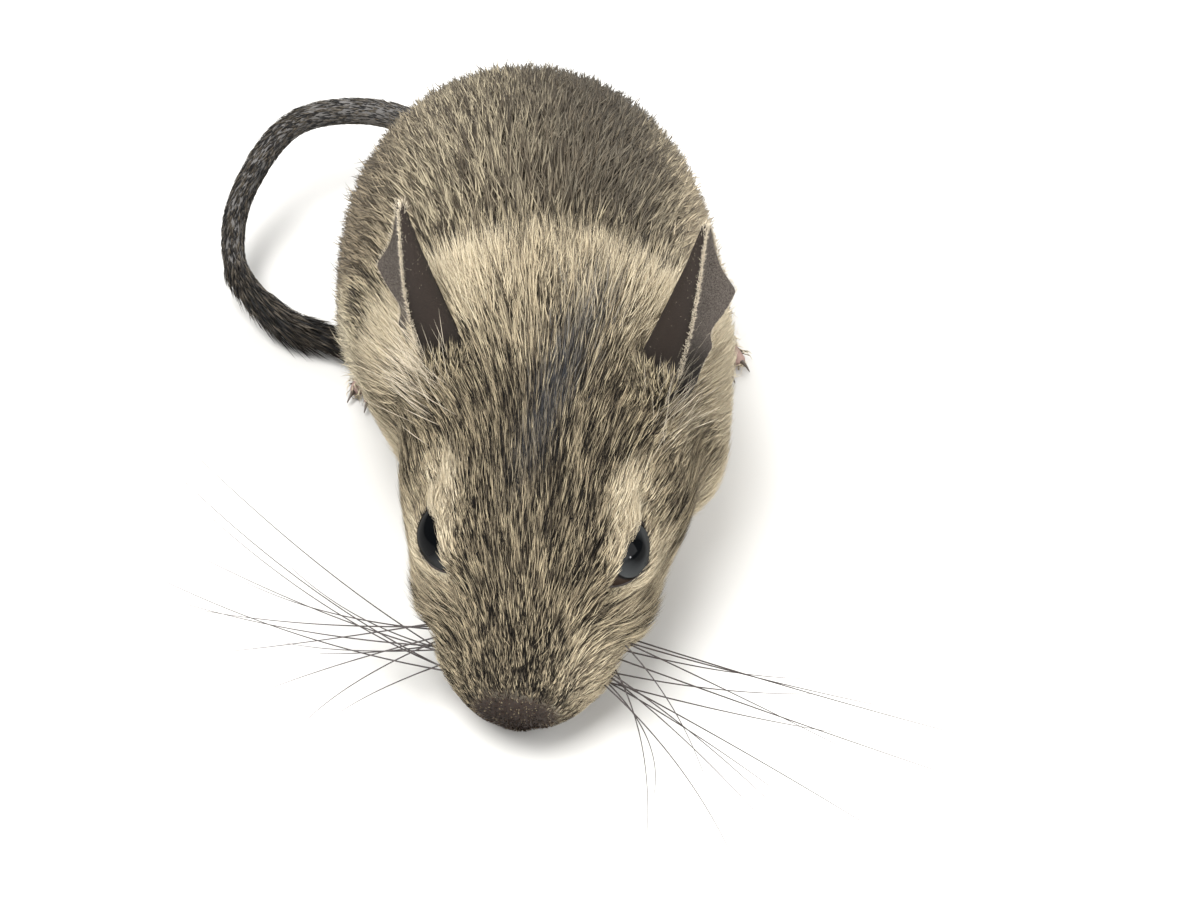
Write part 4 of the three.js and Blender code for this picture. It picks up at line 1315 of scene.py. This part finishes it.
whiskers = {
    "left": {"reach": [(26, 1.5, -6.5), (35, -12, -6.5), (4, -20, -6.5)], "sign": 1},
    "right": {"reach": [(-31, 27, 5), (-31, 8, 0), (-13, -9, -3)], "sign": -1},
}
whiskerLook = {"count": 15, "radius": 0.1, "tipRadius": 0.02, "bow": 5, "lowest": 0.8, "steps": 22,
               "fan": 60, "stray": 0.3, "rows": 1.8, "length": (0.55, 1.12), "around": 6}
whiskerPad = {"y": -30.4, "z": -9.6, "reach": 4.6, "outside": 12}
whiskerFinish = {"roughness": 0.35, "scale": 120.0, "detail": 2.0,
                 "low": (0.012, 0.009, 0.008, 1), "high": (0.05, 0.035, 0.03, 1)}


def makeWhiskers(name, material):
    sign, last = whiskers[name]["sign"], whiskerLook["count"] - 1
    fan = smoothPath(whiskers[name]["reach"], whiskerLook["fan"])
    outward = headTurn @ unit(np.array([sign, -0.3, 0.0]))
    s = np.linspace(0, 1, whiskerLook["steps"])[:, None]
    radii = between(whiskerLook["radius"], whiskerLook["tipRadius"], s[:, 0])
    hairs = []
    for index in range(whiskerLook["count"]):
        t = (index + rng.uniform(-whiskerLook["stray"], whiskerLook["stray"])) / last
        t = min(max(t, 0), 1)
        y = whiskerPad["y"] + whiskerPad["reach"] * (0.7 - 1.3 * rng.random())
        row = rng.uniform(-whiskerLook["rows"], whiskerLook["rows"])
        spot = fromHead([(sign * whiskerPad["outside"], y, whiskerPad["z"] + row)])
        root = ontoSkin(spot, fromHead([(0, y, whiskerPad["z"])]))[0]
        tip = root + fan[int(t * (len(fan) - 1))] * rng.uniform(*whiskerLook["length"])
        tip[2] = max(tip[2], whiskerLook["lowest"])
        bend = root + (tip - root) * 0.35 + outward * whiskerLook["bow"] * rng.uniform(0.5, 1.1)
        path = (1 - s) ** 2 * (root - outward * 0.4) + 2 * s * (1 - s) * bend + s**2 * tip
        hairs.append(tube(path, radii, whiskerLook["around"]))
    piece = makeMesh(f"whiskers_{name}", *joined(hairs), material, slot="whisker")
    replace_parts(piece, f"whisker_pad_{name}")


whiskerHair = grainedMaterial("whiskerHair", **whiskerFinish)
for name in whiskers:
    makeWhiskers(name, whiskerHair)
print("whiskers made")

# Tail and its brush

tail = {
    "path": [(-4, 46, 12.5), (-6.5, 52, 12), (-14, 68, 12.5), (-26, 76.5, 13.5), (-38, 74, 13.5),
             (-44.2, 62.5, 10), (-44.5, 52.5, 5.6), (-39, 45, 3.2), (-31.5, 40, 2.9)],
    "rootRadius": 2.2, "endRadius": 1.2, "steps": 240, "around": 24, "lowest": 0.3, "slate": 0.2,
}
tailHairs = {
    "tail_fur": {"count": 9000, "span": (0.02, 0.99), "length": 1.9, "width": 0.17, "rise": 0.16, "start": 1},
    "tail_brush": {"count": 1500, "span": (0.8, 1), "length": 6.5, "width": 0.2, "rise": 0.24, "start": 0.5},
}
tailFinish = {"roughness": 0.6, "scale": 1500.0, "detail": 3.0, "relief": 0.5,
              "low": (0.07, 0.066, 0.062, 1), "high": (0.17, 0.16, 0.15, 1)}
tailHair = hairMaterial("tailFur", 0.5, Light=(0.2, 0.19, 0.175, 1), Under=(0.06, 0.055, 0.05, 1))


def tailHairMesh(name, path, radii):
    look, count = tailHairs[name], tailHairs[name]["count"]
    tangent, side, up = pathFrame(path)
    place = between(*look["span"], rng.random(count))
    at = place * (len(path) - 1)
    i = np.minimum(at.astype(int), len(path) - 2)
    angle = rng.random(count) * 2 * np.pi
    normal = np.cos(angle)[:, None] * side[i] + np.sin(angle)[:, None] * up[i]
    roots = path[i] + (path[i + 1] - path[i]) * (at - i)[:, None] + normal * radii[i][:, None] * 0.95
    length = look["length"] * rng.uniform(0.7, 1.2, count)
    length = length * between(look["start"], 1, ramp(look["span"][0], look["span"][0] + 0.12, place))
    rise = look["rise"] * rng.uniform(0.6, 1.3, count)
    wander = unit(np.cross(tangent[i], normal)) * rng.normal(0, 0.1, count)[:, None]
    flow = unit(tangent[i] + normal * rise[:, None] + wander)
    middle = roots + flow * (length * 0.5)[:, None]
    tip = roots + flow * length[:, None] - normal * (length * 0.06)[:, None]
    for spot in (middle, tip):
        spot[:, 2] = np.maximum(spot[:, 2], tail["lowest"])
    masks = {key: np.zeros(count) for key in maskNames}
    masks["shade"] = rng.random(count) * (1 - 0.45 * ramp(0.2, 0.6, place))
    masks["slate"] = np.full(count, tail["slate"])
    width = look["width"] * rng.uniform(0.8, 1.2, count)
    return hairMesh(name, tailHair, (roots, middle, tip, normal, width), masks, spread(angle, place), "tail")


def makeTail():
    path = smoothPath(tail["path"], tail["steps"])
    t = np.linspace(0, 1, tail["steps"])
    radii = between(tail["rootRadius"], tail["endRadius"], t) * np.sqrt(1 - 0.9 * ramp(0.93, 1, t))
    material = grainedMaterial("tailSkin", **tailFinish)
    piece = makeMesh("tail_skin", *tube(path, radii, tail["around"]), material, slot="tail")
    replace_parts(piece, "tail_root", "tail_middle", "tail_end")
    tailHairMesh("tail_fur", path, radii)
    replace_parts(tailHairMesh("tail_brush", path, radii), "tail_tuft")


makeTail()
print("tail made")

# Claws

clawLook = {"radius": 0.42, "thinner": 0.85, "steps": 8, "around": 8, "rise": 0.35, "droop": 0.45,
            "root": 0.3, "lowest": 0.18}
clawFinish = {"roughness": 0.35, "scale": 900.0, "detail": 2.0,
              "low": (0.05, 0.038, 0.03, 1), "high": (0.14, 0.11, 0.09, 1)}


def makeClaws():
    horn = grainedMaterial("clawHorn", **clawFinish)
    s = np.linspace(0, 1, clawLook["steps"])[:, None]
    radii = clawLook["radius"] * (1 - clawLook["thinner"] * s[:, 0])
    arch = np.array([0, 0, clawLook["rise"]]) * np.sin(np.pi * s * 0.8)
    for name, foot in feet.items():
        length = footKinds[foot["kind"]]["claw"] + clawLook["root"]
        claws = []
        for path in toePaths(foot):
            ahead = unit(path[-1] - path[-2]) * (1, 1, 0)
            line = path[-1] + ahead * s * length + arch
            line[:, 2] = np.maximum(line[:, 2] - clawLook["droop"] * s[:, 0] ** 2, clawLook["lowest"])
            claws.append(tube(line, radii, clawLook["around"]))
        makeMesh(f"claws_{name}", *joined(claws), horn, slot="ear_skin")


makeClaws()
print("claws made")

# Floor, lights and camera

studio = {"world": (0.93, 0.94, 0.96, 1), "worldStrength": 0.3, "floorSize": 4}
floorFinish = {"roughness": 0.8, "scale": 60.0, "detail": 4.0,
               "low": (0.6402, 0.6305, 0.60625, 1), "high": (0.66, 0.65, 0.625, 1)}
lights = {
    "key": {"at": (-100, -60, 335), "aim": (0, 10, 15), "size": 0.22, "power": 2.1},
    "fill": {"at": (240, -160, 200), "aim": (0, 10, 15), "size": 0.3, "power": 1.1},
    "sparkle": {"at": (240, -200, 66), "aim": (0, -12, 24), "size": 0.02, "power": 0.12},
    "rear": {"at": (40, 300, 240), "aim": (0, 20, 20), "size": 0.25, "power": 1.0},
}


def makeStudio():
    bpy.ops.mesh.primitive_plane_add(size=studio["floorSize"], location=(0, 0, 0))
    floor = bpy.context.object
    floor.name = "studio_floor"
    floor.data.materials.append(grainedMaterial("paleFloor", **floorFinish))
    world = bpy.data.worlds.new("studio")
    world.use_nodes = True
    background = world.node_tree.nodes["Background"]
    background.inputs["Color"].default_value = studio["world"]
    background.inputs["Strength"].default_value = studio["worldStrength"]
    bpy.context.scene.world = world
    for name, light in lights.items():
        lamp = bpy.data.lights.new(name, "AREA")
        lamp.size = light["size"]
        lamp.energy = light["power"]
        holder = bpy.data.objects.new(name, lamp)
        bpy.context.scene.collection.objects.link(holder)
        at, aim = Vector(toFrame(light["at"])), Vector(toFrame(light["aim"]))
        holder.location = at
        holder.rotation_euler = (aim - at).to_track_quat("-Z", "Y").to_euler()


camera = {"at": (5.3, -126.55, 148.35), "tilt": 45, "lens": 50, "sensor": 36, "nearest": 0.005}


def makeCamera():
    data = bpy.data.cameras.new("camera")
    data.lens = camera["lens"]
    data.sensor_width = camera["sensor"]
    data.clip_start = camera["nearest"]
    holder = bpy.data.objects.new("camera", data)
    bpy.context.scene.collection.objects.link(holder)
    holder.location = Vector(toFrame(camera["at"]))
    holder.rotation_euler = (math.radians(camera["tilt"]), 0, 0)
    bpy.context.scene.camera = holder
    bpy.context.scene.view_settings.view_transform = "Standard"


makeStudio()
makeCamera()
print("studio made")
